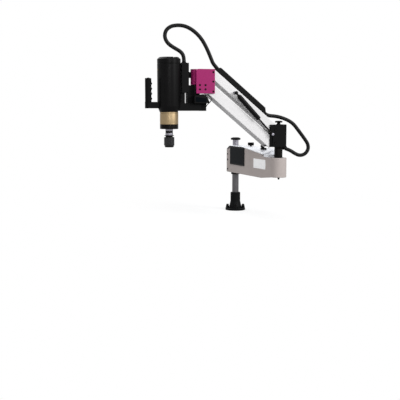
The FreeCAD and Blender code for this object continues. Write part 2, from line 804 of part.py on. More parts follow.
def build_front():
    left = front_x + bracket_left
    right = front_x + bracket_right
    block_end = front_x + bracket_block_end
    bottom = upper_front_z + bracket_bottom
    top = upper_front_z + bracket_top
    block_bottom_z = upper_front_z + bracket_block_bottom
    near = elbow_y - bracket_half_width
    far = elbow_y + bracket_half_width
    body = box(left, right, near, far, bottom, top)
    corner = [edge for edge in body.Edges
              if abs(edge.Vertexes[0].X - left) < OVERRUN and abs(edge.Vertexes[-1].X - left) < OVERRUN
              and abs(edge.Vertexes[0].Z - top) < OVERRUN and abs(edge.Vertexes[-1].Z - top) < OVERRUN]
    body = body.makeFillet(bracket_corner, corner)
    inner_near = near + bracket_cheek
    inner_far = far - bracket_cheek
    slot = box(block_end, right + OVERRUN, inner_near, inner_far, bottom - OVERRUN, top + OVERRUN)
    under = box(left - OVERRUN, block_end + OVERRUN, inner_near, inner_far, bottom - OVERRUN, block_bottom_z)
    knuckle = post(swivel_x, elbow_y, block_bottom_z, top, knuckle_radius)
    body = body.cut(slot).cut(under).fuse(knuckle).removeSplitter()
    shaft_bore = post(swivel_x, elbow_y, block_bottom_z - OVERRUN, top + OVERRUN,
                      swivel_shaft_radius + arm_bore_relief / 2)
    seats = [post(swivel_x, elbow_y, block_bottom_z - OVERRUN, block_bottom_z + swivel_bearing_length,
                  swivel_bearing_radius),
             post(swivel_x, elbow_y, top - swivel_bearing_length, top + OVERRUN, swivel_bearing_radius)]
    pins = [rod_y(front_x, z, near - OVERRUN, far + OVERRUN, pin_radius)
            for z in (upper_front_z, lower_front_z)]
    save("front_bracket", cut_all(body, [shaft_bore] + seats + pins))
    bearings = []
    for low in (block_bottom_z, top - swivel_bearing_length):
        high = low + swivel_bearing_length
        ring = post(swivel_x, elbow_y, low, high, swivel_bearing_radius)
        bearings.append(ring.cut(post(swivel_x, elbow_y, low - OVERRUN, high + OVERRUN,
                                      swivel_shaft_radius + FIT)))
    save("swivel_bearings", Part.makeCompound(bearings))
    save("front_pins", pivot_pins(front_x, (upper_front_z, lower_front_z), bracket_half_width))
    edge = [(right - bracket_edge_screw_inset, upper_front_z + rise) for rise in bracket_edge_screw_heights]
    group = [(front_x + x, upper_front_z + z) for x in bracket_group_x for z in bracket_group_z]
    screws = [rod_y(x, z, near - bracket_screw_height, near, bracket_screw_radius) for x, z in edge + group]
    screws += [rod_y(x, z, far, far + bracket_screw_height, bracket_screw_radius) for x, z in group]
    save("bracket_screws", Part.makeCompound(screws))
    return top, block_bottom_z


def gearbox_form():
    return turned([(0, cover_bottom), (gearbox_step, cover_bottom), (gearbox_step, foot_bottom),
                   (gearbox_radius, cover_taper_top), (gearbox_radius, gearbox_top), (0, gearbox_top)],
                  head_x, elbow_y)


def build_carrier(bracket_top_z, knuckle_bottom):
    spine = box(swivel_x - spine_front, swivel_x - spine_back, elbow_y - spine_half_width,
                elbow_y + spine_half_width, spine_bottom - OVERRUN, spine_top)
    web = box(swivel_x - spine_front, swivel_x, elbow_y - web_half_width, elbow_y + web_half_width,
              foot_bottom, web_top)
    boss_top = knuckle_bottom - head_level - swivel_boss_gap
    boss = post(swivel_x, elbow_y, swivel_boss_bottom, boss_top, swivel_boss_radius)
    foot = box(head_x, swivel_x + swivel_boss_radius, elbow_y - foot_half_width, elbow_y + foot_half_width,
               foot_bottom, foot_top)
    slit = box(swivel_x - slit_front, swivel_x - slit_back, elbow_y - spine_half_width - OVERRUN,
               elbow_y + spine_half_width + OVERRUN, foot_top, spine_bottom)
    shell_space = post(head_x, elbow_y, foot_bottom - OVERRUN, spine_top + OVERRUN, cover_radius + SEAT)
    shaft_hole = post(swivel_x, elbow_y, swivel_boss_bottom, boss_top + OVERRUN, swivel_shaft_radius)
    upright = cut_all(fused([spine, web, boss]), [slit, shell_space])
    save_on_head("head_carrier", fused([upright, foot.cut(gearbox_form())]).cut(shaft_hole))
    shaft_top = bracket_top_z - head_level - swivel_shaft_cap
    save_on_head("swivel_shaft", post(swivel_x, elbow_y, swivel_boss_bottom, shaft_top, swivel_shaft_radius))
    lock = box(swivel_x - spine_back, swivel_x, elbow_y - lock_half_width, elbow_y + lock_half_width,
               lock_bottom, lock_top)
    lock = lock.cut(post(swivel_x, elbow_y, lock_bottom - OVERRUN, lock_top + OVERRUN, knuckle_radius + SEAT))
    middle = (lock_bottom + lock_top) / 2
    near = elbow_y - lock_half_width
    screw = rod_y(swivel_x - (spine_back + knuckle_radius) / 2, middle, near - lock_screw_length, near,
                  lock_screw_radius)
    save_on_head("swivel_lock", fused([lock, screw]))
    gland_x = swivel_x - (spine_front + spine_back) / 2
    gland_top = spine_top + head_gland_length
    save_on_head("head_cable_gland", turned([(0, spine_top), (gland_radius, spine_top),
                                     (cable_diameter / 2 + OVERRUN, gland_top), (0, gland_top)],
                                    gland_x, elbow_y))
    return V(gland_x, elbow_y, head_level + gland_top)


def build_head():
    inner_radius = cover_radius - cover_shell
    shell = turned([(cover_bottom_radius - cover_shell, cover_bottom), (cover_bottom_radius, cover_bottom),
                    (cover_radius, cover_taper_top), (cover_radius, cover_top), (inner_radius, cover_top),
                    (inner_radius, cover_taper_top)], head_x, elbow_y)
    foot_way = box(head_x, head_x + cover_radius + OVERRUN, elbow_y - foot_half_width - SEAT,
                   elbow_y + foot_half_width + SEAT, cover_bottom - OVERRUN, foot_top + SEAT)
    bar_way = box(head_x - cover_radius - OVERRUN, head_x, elbow_y - bar_arm_half_width - SEAT,
                  elbow_y + bar_arm_half_width + SEAT, bar_bottom - SEAT, bar_top + SEAT)
    save_on_head("motor_cover", shell.cut(foot_way).cut(bar_way))
    dome = cap_radius - cap_dome
    cap = turned([(inner_radius, cover_top), (cap_radius, cover_top), (cap_radius, cover_top + cap_seam),
                  (cover_radius, cover_top + cap_seam), (cover_radius, cap_top - cap_dome),
                  (dome, cap_top), (0, cap_top), (0, cap_top - cap_top_wall),
                  (inner_radius, cap_top - cap_top_wall)], head_x, elbow_y)
    groove = box(head_x + cap_groove_at, head_x + cap_groove_at + cap_groove_width, elbow_y - cover_radius,
                 elbow_y + cover_radius, cap_top - cap_groove_depth, cap_top + OVERRUN)
    save_on_head("motor_cap", cap.cut(groove))

    bore = post(head_x, elbow_y, cover_bottom, gearbox_top, spindle_radius + arm_bore_relief)
    save_on_head("gearbox", gearbox_form().cut(bore))
    save_on_head("motor", post(head_x, elbow_y, gearbox_top, motor_top, motor_radius))
    bore = spindle_bearing_radius
    upper_groove = cover_bottom - module_groove_height - module_groove_height
    save_on_head("speed_module", turned([(bore, module_bottom), (module_radius, module_bottom),
                                 (module_radius, upper_groove - module_groove_height),
                                 (module_radius - module_groove, upper_groove - module_groove_height),
                                 (module_radius - module_groove, upper_groove), (module_radius, upper_groove),
                                 (module_radius, cover_bottom), (bore, cover_bottom)], head_x, elbow_y))
    lip = spindle_radius + arm_bore_relief
    save_on_head("retaining_ring", turned([(lip, ring_bottom), (ring_radius - ring_edge, ring_bottom),
                                   (ring_radius, ring_bottom + ring_edge), (ring_radius, module_bottom),
                                   (lip, module_bottom)], head_x, elbow_y))
    bearings = []
    for low in (spindle_bearing_low, spindle_bearing_high):
        ring = post(head_x, elbow_y, low, low + spindle_bearing_length, spindle_bearing_radius)
        bearings.append(ring.cut(post(head_x, elbow_y, low - OVERRUN, low + spindle_bearing_length + OVERRUN,
                                      spindle_radius + FIT)))
    save_on_head("spindle_bearings", Part.makeCompound(bearings))


def build_spindle():
    middle = (ring_bottom + chuck_top) / 2
    half = spindle_groove_height / 2
    spindle = turned([(0, chuck_top), (spindle_radius, chuck_top), (spindle_radius, middle - half),
                      (spindle_radius - spindle_groove_depth, middle - half),
                      (spindle_radius - spindle_groove_depth, middle + half), (spindle_radius, middle + half),
                      (spindle_radius, spindle_top), (0, spindle_top)], head_x, elbow_y)
    save_on_head("spindle", spindle)
    nose_top = sleeve_bottom - SEAT
    collar_bottom = sleeve_top + sleeve_travel + SEAT
    chuck = turned([(0, chuck_bottom), (chuck_nose_radius - sleeve_edge, chuck_bottom),
                    (chuck_nose_radius, chuck_bottom + sleeve_edge), (chuck_nose_radius, nose_top),
                    (chuck_core_radius, nose_top), (chuck_core_radius, collar_bottom),
                    (chuck_collar_radius, collar_bottom), (chuck_collar_radius, chuck_top), (0, chuck_top)],
                   head_x, elbow_y)
    socket_top = chuck_bottom + spindle_bore_depth
    socket = post(head_x, elbow_y, chuck_bottom - OVERRUN, socket_top, spindle_bore_radius)
    save_on_head("chuck_body", chuck.cut(socket))
    inner = chuck_core_radius + sleeve_clearance
    sleeve = turned([(inner, sleeve_bottom), (sleeve_radius - sleeve_edge, sleeve_bottom),
                     (sleeve_radius, sleeve_bottom + sleeve_edge), (sleeve_radius, sleeve_top),
                     (inner, sleeve_top)], head_x, elbow_y)
    flute_bottom = sleeve_bottom + sleeve_edge
    for index in range(sleeve_flutes):
        angle = 2 * math.pi * index / sleeve_flutes
        x = head_x + sleeve_radius * math.cos(angle)
        y = elbow_y + sleeve_radius * math.sin(angle)
        sleeve = sleeve.cut(post(x, y, flute_bottom, sleeve_top + OVERRUN, sleeve_flute_radius))
    save_on_head("chuck_sleeve", sleeve)


def build_handle():
    near = elbow_y - bar_half_width
    far = elbow_y + bar_half_width
    grip_centre = swivel_x - grip_x
    left = box(grip_centre, head_x, elbow_y - bar_arm_half_width, elbow_y + bar_arm_half_width, bar_bottom,
               bar_top)
    left = left.fuse(post(grip_centre, elbow_y, bar_bottom, bar_top, bar_arm_half_width))
    left = left.cut(gearbox_form())
    left = left.cut(post(grip_centre, elbow_y, bar_bottom - OVERRUN, bar_top + OVERRUN, grip_radius))
    save_on_head("handle_arm", left)

    grip = post(grip_centre, elbow_y, bar_bottom, grip_top, grip_radius)
    bumps = []
    for index in range(grip_bumps):
        z = grip_first_bump + index * grip_bump_pitch
        bumps.append(Part.makeSphere(grip_bump_radius, V(grip_centre + grip_bump_shift, elbow_y, z)))
    keep = box(grip_centre - grip_bump_radius, grip_centre + grip_x, near, far,
               bar_top + SEAT, grip_top)
    bumps = [bump.common(keep) for bump in bumps]
    grip = fused([grip] + bumps)
    wells = [post(grip_centre, elbow_y + side * button_spread, grip_top - button_well, grip_top + OVERRUN,
                  button_radius + SEAT) for side in (-1, 1)]
    save_on_head("handle_grip", cut_all(grip, wells))
    high = grip_top + button_proud
    for name, side in (("start_button", -1), ("reverse_button", 1)):
        button = post(grip_centre, elbow_y + side * button_spread, high - button_height, high, button_radius)
        save_on_head(name, button)

    right = box(swivel_x + swivel_boss_radius + bar_gap, swivel_x - bar_right, near, far,
                bar_right_bottom, bar_right_top)
    pitch = (bar_right_top - bar_right_bottom) / bar_ridges
    for index in range(1, bar_ridges):
        z = bar_right_bottom + index * pitch
        for low in (near - OVERRUN, far - bar_ridge_depth):
            right = right.cut(box(swivel_x, swivel_x - bar_right + OVERRUN, low,
                                  low + bar_ridge_depth + OVERRUN, z, z + bar_ridge_width))
    save_on_head("rest_handle", right)


def build_box():
    near = elbow_y - box_near
    far = elbow_y - box_far
    outline = [(swivel_x + box_left, box_bottom), (swivel_x + box_left, box_top - box_left_drop),
               (swivel_x + box_peak, box_top), (swivel_x + box_right, box_top - box_right_drop),
               (swivel_x + box_nose, box_bottom)]
    body = plate_y(outline, near, far)
    save_on_head("control_box", body)
    screen = plate_y([(swivel_x + box_left + screen_margin, box_bottom + screen_margin),
                      (swivel_x + box_left + screen_margin, box_top - box_left_drop - screen_margin),
                      (swivel_x + box_right - screen_margin, box_top - box_right_drop - screen_margin),
                      (swivel_x + box_right - screen_margin, box_bottom + screen_margin)],
                     near - screen_thickness, near)
    save_on_head("control_screen", screen)
    bracket = box(swivel_x + swivel_boss_radius + bar_gap, swivel_x - bar_right, far,
                  elbow_y - bar_half_width + bar_half_width / 2, bar_right_top, box_bottom + screen_margin)
    save_on_head("box_bracket", bracket)


def tube_edges(points):
    """Straight runs joined by tangent arcs, each as large as its two runs allow."""
    edges = []
    radii = []
    previous = points[0]
    for index in range(1, len(points) - 1):
        corner = points[index]
        into = corner.sub(points[index - 1])
        out = points[index + 1].sub(corner)
        shorter = min(into.Length, out.Length)
        turn = into.getAngle(out)
        setback = arc_run_share * shorter
        into.normalize()
        out.normalize()
        start = corner.sub(into * setback)
        end = corner.add(out * setback)
        radius = setback / math.tan(turn / 2)
        bisector = out.sub(into)
        bisector.normalize()
        centre = corner.add(bisector * (radius / math.cos(turn / 2)))
        middle = centre.sub(bisector * radius)
        edges.append(Part.LineSegment(previous, start).toShape())
        edges.append(Part.Arc(start, middle, end).toShape())
        radii.append(round(radius))
        previous = end
    edges.append(Part.LineSegment(previous, points[-1]).toShape())
    return edges, radii


def tube(name, edges, diameter):
    wire = Part.Wire(edges)
    start = edges[0].valueAt(edges[0].FirstParameter)
    ring = Part.Wire(Part.Circle(start, edges[0].tangentAt(edges[0].FirstParameter), diameter / 2).toShape())
    solid = wire.makePipeShell([ring], True, False)
    expected = math.pi * (diameter / 2) ** 2 * wire.Length
    print(name, "length", round(wire.Length), "volume share", round(solid.Volume / expected, 4))
    save(name, solid)


def cable(names, points, diameter, split_count=0):
    """A cable along its route, a little short of what it meets at each end."""
    points = list(points)
    for end, neighbour in ((0, 1), (-1, -2)):
        inward = points[neighbour].sub(points[end])
        inward.normalize()
        points[end] = points[end].add(inward * (SEAT / 2))
    edges, radii = tube_edges(points)
    print(names, "radii", radii)
    if len(names) == 1:
        tube(names[0], edges, diameter)
        return
    # Two lengths of one cable meet in the middle of a straight run.
    split = edges[2 * split_count]
    start = split.Vertexes[0].Point
    end = split.Vertexes[1].Point
    middle = split.valueAt((split.FirstParameter + split.LastParameter) / 2)
    tube(names[0], edges[:2 * split_count] + [Part.LineSegment(start, middle).toShape()], diameter)
    tube(names[1], [Part.LineSegment(middle, end).toShape()] + edges[2 * split_count + 1:], diameter)


# Cable routes between their ends: x, the distance beside the plane of the arm, and z
head_route = [(-502.8, 0, 887), (-510.2, 0, 911), (-527, 0, 931), (-567.5, 0, 952.5), (-586, 0, 985),
              (-583, 0, 1022), (-559.5, 0, 1051), (-523.5, 0, 1062.5), (-486, 0, 1054), (-448, 0, 1027),
              (-414, 0, 994), (-388.5, 0, 957), (-364.3, 0, 909.4)]
rear_route = [(-46, 0, 595.9), (-18, -1, 584), (33, -4, 578), (78, -7, 567), (112, -10, 546),
              (145, -13, 515), (177, -16, 482), (199, -18, 456), (206, -20, 429), (199.5, -20, 401.5),
              (181, -18, 378.5), (153.5, -15, 366), (123, -11, 366.5), (95.5, -6, 380.5), (76, 0, 406)]
lead_route = [(-403, -53, 690.5), (-395.5, -53.5, 694.5), (-386, -54, 693), (-377.5, -53.5, 687),
              (-371, -52.5, 678), (-369, -50, 668), (-372, -43, 659), (-377.5, -33, 651), (-383, -24, 644),
              (-387, -18, 637)]


def link_point(along, rise):
    """A place on the upper link at rest, from its distance along the link and its rise over the top."""
    height = upper_above + rise
    return V(rear_x - along * cos_rest + height * sin_rest, elbow_y,
             upper_pivot_z + along * sin_rest + height * cos_rest)


def build_cables(head_exit):
    def in_plane(route):
        return [V(x, elbow_y + y, z) for x, y, z in route]

    link_start = link_point(link_cable_start_at, link_cable_start_rise)
    link_end = link_point(link_cable_end_at, link_cable_rise)
    cable(["head_cable", "loop_cable"], [head_exit] + in_plane(head_route) + [link_start], cable_diameter,
          head_cable_split_count)
    bend = link_point(link_cable_bend_at, link_cable_rise)
    cable(["link_cable"], [link_start, bend, link_end], cable_diameter)
    rear_points = [link_end] + in_plane(rear_route)
    cable(["rear_cable"], rear_points, cable_diameter)
    exit_point = rear_points[-1]
    run = exit_point.sub(rear_points[-2])
    run.normalize()
    inside = exit_point.add(run * rear_gland_length)
    gland = rod_between(exit_point, inside, gland_radius)
    block = box(elbow_x, elbow_x + block_back, elbow_y - block_half_depth, elbow_y + block_half_depth,
                block_bottom, block_top)
    shaft = post(elbow_x, elbow_y, arm_underside, block_top, elbow_shaft_radius + SIDE_GAP)
    save("rear_cable_gland", gland.cut(block).cut(shaft))
    cable(["control_lead"], in_plane(lead_route), lead_diameter)


build_base()
build_arm()
build_elbow()
build_links()
build_spring()
bracket_top_z, knuckle_bottom = build_front()
head_exit = build_carrier(bracket_top_z, knuckle_bottom)
build_head()
build_spindle()
build_handle()
build_box()
build_cables(head_exit)
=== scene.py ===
# Arm tapping machine: the finish of its surfaces, its cables and its small details, round the packed
# frame. Metres. The parallelogram arm lies in the XZ plane and the tapping head is towards -X.
import json
import math

import bmesh
import bpy
from mathutils import Matrix, Vector


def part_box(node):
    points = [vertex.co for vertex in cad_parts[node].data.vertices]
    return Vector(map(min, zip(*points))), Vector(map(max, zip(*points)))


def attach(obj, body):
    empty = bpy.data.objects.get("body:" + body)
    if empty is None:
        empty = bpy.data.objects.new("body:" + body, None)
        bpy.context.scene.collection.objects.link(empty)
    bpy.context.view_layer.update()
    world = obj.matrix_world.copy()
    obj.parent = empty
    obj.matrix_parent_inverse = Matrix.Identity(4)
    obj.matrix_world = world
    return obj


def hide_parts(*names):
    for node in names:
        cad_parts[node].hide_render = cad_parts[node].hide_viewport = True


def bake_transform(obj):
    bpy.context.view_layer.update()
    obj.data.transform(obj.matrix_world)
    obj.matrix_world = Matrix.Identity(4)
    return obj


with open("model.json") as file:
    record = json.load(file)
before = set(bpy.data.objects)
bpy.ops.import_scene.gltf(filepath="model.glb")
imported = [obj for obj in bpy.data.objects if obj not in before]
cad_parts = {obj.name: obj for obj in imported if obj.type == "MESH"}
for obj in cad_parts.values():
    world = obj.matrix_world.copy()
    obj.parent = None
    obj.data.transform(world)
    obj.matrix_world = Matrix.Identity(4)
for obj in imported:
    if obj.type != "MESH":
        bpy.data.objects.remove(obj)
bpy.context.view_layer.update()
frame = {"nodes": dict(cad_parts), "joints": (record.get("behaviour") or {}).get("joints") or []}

MM = 0.001
TINY = 1e-7

# The camera, found from the object's own edges in the 400 x 400 picture
CAMERA_PLACE = (-1.70466, -4.53835, 0.632)
CAMERA_TURN = 18.0
CAMERA_PITCH = 6.74
CAMERA_LENS = 70.83
SENSOR_WIDTH = 36.0

# Studio
FLOOR_RADIUS = 9.0
FLOOR_STEPS = 96
SHADOW_REACH = 1.1
SHADOW_SHARE = 0.35
FLOOR_ROUGHNESS = 0.9
FLOOR_GLOSS = 0.1
PALE_FLOOR = "#f4f4f4"
WHITE = "#ffffff"
ROOM_GREY = "#e4e6ea"
ROOM_STRENGTH = 0.42
FLOOR_BOUNCE = "#6e6e70"
# Each lamp: name, place, size, power and whether gloss shows it
LAMPS = (("key_softbox", (2.2, -3.6, 2.2), 2.0, 170.0, True),
         ("left_fill", (-3.0, -1.1, 1.0), 1.4, 32.0, False),
         ("front_fill", (-1.0, -3.4, 1.5), 0.9, 30.0, True),
         ("top_softbox", (-0.6, 0.9, 3.0), 2.4, 56.0, True))
LAMP_AIM = (-0.2, -0.55, 0.6)

# Mesh making
TURN_STEPS = 96
MIDDLE_STEPS = 48
SMALL_STEPS = 36
SCREW_STEPS = 24
ROUND_STEPS = 4
MERGE_GAP = 0.00002
FLAT_ANGLE = math.radians(0.5)
SHARP_ANGLE = math.radians(38)
EDGE_ANGLE = math.radians(28)
# Nodes with faces so narrow that their bevels are kept from crossing
CROWDED = ("front_bracket", "head_carrier", "motor_cap", "rear_cable_gland")

# Finishes: size of the soft patches, and how far the gloss strays
COAT_PATCH = 40 * MM
METAL_PATCH = 25 * MM
COAT_SPREAD = 0.06
METAL_SPREAD = 0.08


def linear(colour):
    """An sRGB hex colour as linear RGBA."""
    channels = [int(colour[place:place + 2], 16) / 255 for place in (1, 3, 5)]
    return [c / 12.92 if c <= 0.04045 else ((c + 0.055) / 1.055) ** 2.4 for c in channels] + [1.0]


def add(tree, kind, values=None, links=None, **settings):
    """A node with its settings, its inputs' values and the outputs that feed its inputs."""
    node = tree.nodes.new(kind)
    for name, value in settings.items():
        setattr(node, name, value)
    for socket, value in (values or {}).items():
        node.inputs[socket].default_value = value
    for socket, source in (links or {}).items():
        tree.links.new(source, node.inputs[socket])
    return node


def start_material(name, **constants):
    """A material, its tree, its shader with constants on its own sockets, and Object coordinates."""
    made = bpy.data.materials.new(name)
    made.use_nodes = True
    tree = made.node_tree
    shader = tree.nodes["Principled BSDF"]
    for socket, value in constants.items():
        shader.inputs[socket.replace("_", " ")].default_value = value
    return made, tree, shader, add(tree, "ShaderNodeTexCoord").outputs["Object"]


def mottle(tree, coords, first, second, size):
    """Two close shades in soft patches of the given size, as a colour."""
    patches = add(tree, "ShaderNodeTexNoise", {"Scale": 1 / size, "Detail": 3.0}, {"Vector": coords})
    return add(tree, "ShaderNodeMix", {6: linear(first), 7: linear(second)}, {0: patches.outputs["Fac"]},
               data_type="RGBA").outputs[2]


def marked(tree, shader, marks, rough, spread, relief):
    """The marks as a change in the gloss and as a low relief."""
    gloss = add(tree, "ShaderNodeMapRange", {"To Min": rough - spread, "To Max": rough + spread},
                {"Value": marks})
    tree.links.new(gloss.outputs["Result"], shader.inputs["Roughness"])
    bump = add(tree, "ShaderNodeBump", {"Strength": 1.0, "Distance": relief}, {"Height": marks})
    tree.links.new(bump.outputs["Normal"], shader.inputs["Normal"])


def coat(name, first, second, rough, grain, relief, specular):
    """Powder coat, enamel or moulded plastic: close shades, a fine grain in the gloss and a low relief."""
    made, tree, shader, coords = start_material(name, Specular_IOR_Level=specular)
    tree.links.new(mottle(tree, coords, first, second, COAT_PATCH), shader.inputs["Base Color"])
    fine = add(tree, "ShaderNodeTexNoise", {"Scale": 1 / grain, "Detail": 2.0}, {"Vector": coords})
    marked(tree, shader, fine.outputs["Fac"], rough, COAT_SPREAD, relief)
    return made


def worked_metal(name, first, second, rough, stretch, mark, relief):
    """Turned, ground or brushed metal: marks that run along or round the piece."""
    made, tree, shader, coords = start_material(name, Metallic=1.0)
    tree.links.new(mottle(tree, coords, first, second, METAL_PATCH), shader.inputs["Base Color"])
    along = add(tree, "ShaderNodeMapping", {"Scale": stretch}, {"Vector": coords})
    marks = add(tree, "ShaderNodeTexNoise", {"Scale": 1 / mark, "Detail": 3.0},
                {"Vector": along.outputs["Vector"]})
    marked(tree, shader, marks.outputs["Fac"], rough, METAL_SPREAD, relief)
    return made


# How marks are stretched: into rings round an upright piece, or not at all
ROUND_Z = (0.06, 0.06, 1.0)
UNIFORM = (1.0, 1.0, 1.0)

# Cast iron under satin black enamel: a slightly grainy black.
iron_black = coat("cast_iron_black_enamel", "#08090a", "#0d0e0f", 0.45, 1.2 * MM, 0.10 * MM, 0.06)
# Aluminium under satin black powder coat: an even black with a faint orange peel.
powder_black = coat("satin_black_powder_coat", "#070708", "#0b0b0b", 0.46, 0.9 * MM, 0.05 * MM, 0.05)
# Moulded ABS, satin: smooth black with a soft sheen.
abs_black = coat("moulded_black_abs", "#070707", "#0b0b0b", 0.4, 0.7 * MM, 0.03 * MM, 0.06)
# The motor cover's moulded shell: smoother than the rest.
shell_black = coat("satin_black_shell", "#060606", "#0a090a", 0.36, 0.8 * MM, 0.02 * MM, 0.06)
# Aluminium casting under warm grey powder coat, with the casting's own roughness under it.
casting_grey = coat("grey_powder_coat_casting", "#a39a96", "#aba29e", 0.55, 1.1 * MM, 0.10 * MM, 0.25)
# Folded and machined aluminium under white powder coat.
cover_white = coat("white_powder_coat", "#d9dbe0", "#e2e4e8", 0.4, 0.9 * MM, 0.04 * MM, 0.4)
# Extruded link under pale grey powder coat.
link_white = coat("pale_grey_powder_coat", "#cdcccc", "#d4d3d3", 0.42, 0.9 * MM, 0.05 * MM, 0.35)
# Aluminium under magenta powder coat.
magenta = coat("magenta_powder_coat", "#881956", "#911e5c", 0.42, 0.9 * MM, 0.05 * MM, 0.15)
# Acrylic window, dark and glossy.
acrylic_black = coat("dark_acrylic_window", "#03060a", "#05090d", 0.36, 3.0 * MM, 0.0, 0.02)
# Printed vinyl, left blank.
vinyl_white = coat("blank_white_vinyl", "#f9f9f8", "#fdfdfd", 0.35, 1.5 * MM, 0.01 * MM, 0.4)
# Moulded rubber of the grip and of the handle's ribbed end.
rubber_black = coat("black_moulded_rubber", "#080808", "#0c0c0c", 0.62, 0.6 * MM, 0.06 * MM, 0.05)
# PVC cable sheath: smooth, a little shiny.
sheath_black = coat("black_cable_sheath", "#080808", "#0c0c0c", 0.4, 1.5 * MM, 0.03 * MM, 0.1)
# Ground and hard-chromed steel of the column: fine marks along it.
column_steel = worked_metal("ground_chromed_steel", "#565557", "#605f61", 0.4, ROUND_Z, 1.2 * MM, 0.01 * MM)
# Bright turned steel: fine marks round the axis.
bright_steel = worked_metal("bright_turned_steel", "#7b7981", "#87858c", 0.36, ROUND_Z, 0.6 * MM, 0.01 * MM)
# Gold-anodised turned aluminium: warm, soft, with fine marks round the axis.
gold = worked_metal("gold_anodised_aluminium", "#8c7a5e", "#958366", 0.44, ROUND_Z, 0.5 * MM, 0.01 * MM)
# Black oxide on turned steel: nearly black, with a low metallic sheen.
oxide_black = worked_metal("black_oxide_steel", "#121111", "#181716", 0.42, ROUND_Z, 0.7 * MM, 0.01 * MM)
# Dark turned steel of the chuck's sleeve, with light catching the flutes.
sleeve_steel = worked_metal("dark_turned_steel", "#2c2c2d", "#363637", 0.34, ROUND_Z, 0.6 * MM, 0.01 * MM)
# Sintered bronze of the link bushes.
bronze = worked_metal("sintered_bronze", "#8a6a40", "#94744a", 0.45, UNIFORM, 0.8 * MM, 0.02 * MM)
# Cast and machined housing inside the cover.
housing_grey = worked_metal("machined_aluminium", "#9a9a9c", "#a3a3a5", 0.4, UNIFORM, 1.0 * MM, 0.02 * MM)
# Brass of the small cover screws.
brass = worked_metal("brass", "#8c7648", "#977f50", 0.3, UNIFORM, 0.8 * MM, 0.01 * MM)
# Dark moulded button caps.
button_green = coat("dark_green_button", "#0d2313", "#102817", 0.35, 1.0 * MM, 0.01 * MM, 0.3)
button_red = coat("dark_red_button", "#36100e", "#3e1210", 0.35, 1.0 * MM, 0.01 * MM, 0.3)


def to_mesh(name, bm):
    """A smooth mesh with sharp creases. The bmesh is freed."""
    mesh = bpy.data.meshes.new(name)
    bm.to_mesh(mesh)
    bm.free()
    mesh.shade_smooth()
    mesh.set_sharp_from_angle(angle=SHARP_ANGLE)
    return mesh


def placed(name, data):
    """An object of the given data, in the scene."""
    made = bpy.data.objects.new(name, data)
    bpy.context.scene.collection.objects.link(made)
    return made


def evaluated(holder):
    """The object's final mesh. The object itself is removed."""
    bpy.context.view_layer.update()
    graph = bpy.context.evaluated_depsgraph_get()
    mesh = bpy.data.meshes.new_from_object(holder.evaluated_get(graph))
    bpy.data.objects.remove(holder)
    return mesh


def baked(name, mesh, modifiers):
    """The mesh with its modifiers applied, each given as its kind and its settings."""
    holder = placed(name, mesh)
    for kind, settings in modifiers:
        modifier = holder.modifiers.new(kind, kind)
        for setting, value in settings.items():
            setattr(modifier, setting, value)
    made = evaluated(holder)
    made.name = name
    return made


def piece(name, mesh, finish, body, slot, *nodes):
    """A finished mesh on its body, in the place of its nodes."""
    made = placed(name, mesh)
    mesh.materials.clear()
    mesh.materials.append(finish)
    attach(made, body)
    if nodes:
        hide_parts(*nodes)
    return made


def eased(node, edge, finish, body, slot, segments=3):
    """A node's own form with its edges eased, as a casting or a coated plate has them."""
    bm = bmesh.new()
    bm.from_mesh(frame["nodes"][node].data)
    bmesh.ops.remove_doubles(bm, verts=bm.verts, dist=MERGE_GAP)
    bmesh.ops.dissolve_limit(bm, angle_limit=FLAT_ANGLE, verts=bm.verts, edges=bm.edges)
    mesh = baked(node + "_eased", to_mesh(node, bm), [
        ("BEVEL", {"width": edge, "segments": segments, "limit_method": "ANGLE", "angle_limit": EDGE_ANGLE,
                   "use_clamp_overlap": node in CROWDED}),
        ("WEIGHTED_NORMAL", {"keep_sharp": True, "weight": 100})])
    return piece(node + "_eased", mesh, finish, body, slot, node)


def rounded(corners):
    """Section points from (radius, height, rounding) corners, with an arc for each rounding."""
    points = []
    for index, (radius, height, rounding) in enumerate(corners):
        corner = Vector((radius, 0, height))
        if rounding < TINY:
            points.append((radius, height))
            continue
        before = corners[index - 1]
        after = corners[(index + 1) % len(corners)]
        back = (Vector((before[0], 0, before[1])) - corner).normalized()
        ahead = (Vector((after[0], 0, after[1])) - corner).normalized()
        half = back.angle(ahead) / 2
        centre = corner + (back + ahead).normalized() * (rounding / math.sin(half))
        first = (corner + back * (rounding / math.tan(half)) - centre).normalized()
        last = (corner + ahead * (rounding / math.tan(half)) - centre).normalized()
        for step in range(ROUND_STEPS + 1):
            spoke = first.slerp(last, step / ROUND_STEPS) * rounding
            points.append((centre.x + spoke.x, centre.z + spoke.z))
    return points


def lathe(name, section, place, facing=(0, 0, 1), shape=None, steps=TURN_STEPS):
    """A closed turned solid from (radius, height) points. shape(index, angle) scales a ring's radius."""
    bm = bmesh.new()
    rings = []
    for index, (radius, height) in enumerate(section):
        if radius < TINY:
            rings.append([bm.verts.new((0, 0, height))] * steps)
            continue
        ring = []
        for step in range(steps):
            angle = 2 * math.pi * step / steps
            reach = radius * (shape(index, angle) if shape else 1)
            ring.append(bm.verts.new((reach * math.cos(angle), reach * math.sin(angle), height)))
        rings.append(ring)
    for low, high in zip(rings, rings[1:] + rings[:1]):
        for step in range(steps):
            after = (step + 1) % steps
            corners = list(dict.fromkeys([low[step], low[after], high[after], high[step]]))
            if len(corners) > 2:
                bm.faces.new(corners)
    bmesh.ops.recalc_face_normals(bm, faces=bm.faces)
    turn = Vector(facing).to_track_quat("Z", "Y").to_matrix().to_4x4()
    bm.transform(Matrix.Translation(place) @ turn)
    return to_mesh(name, bm)


def turned(name, corners, place, finish, body, slot, *nodes, **form):
    """A lathe piece from (radius, height, rounding) corners in millimetres."""
    section = rounded([(radius * MM, height * MM, rounding * MM) for radius, height, rounding in corners])
    return piece(name, lathe(name, section, place, **form), finish, body, slot, *nodes)


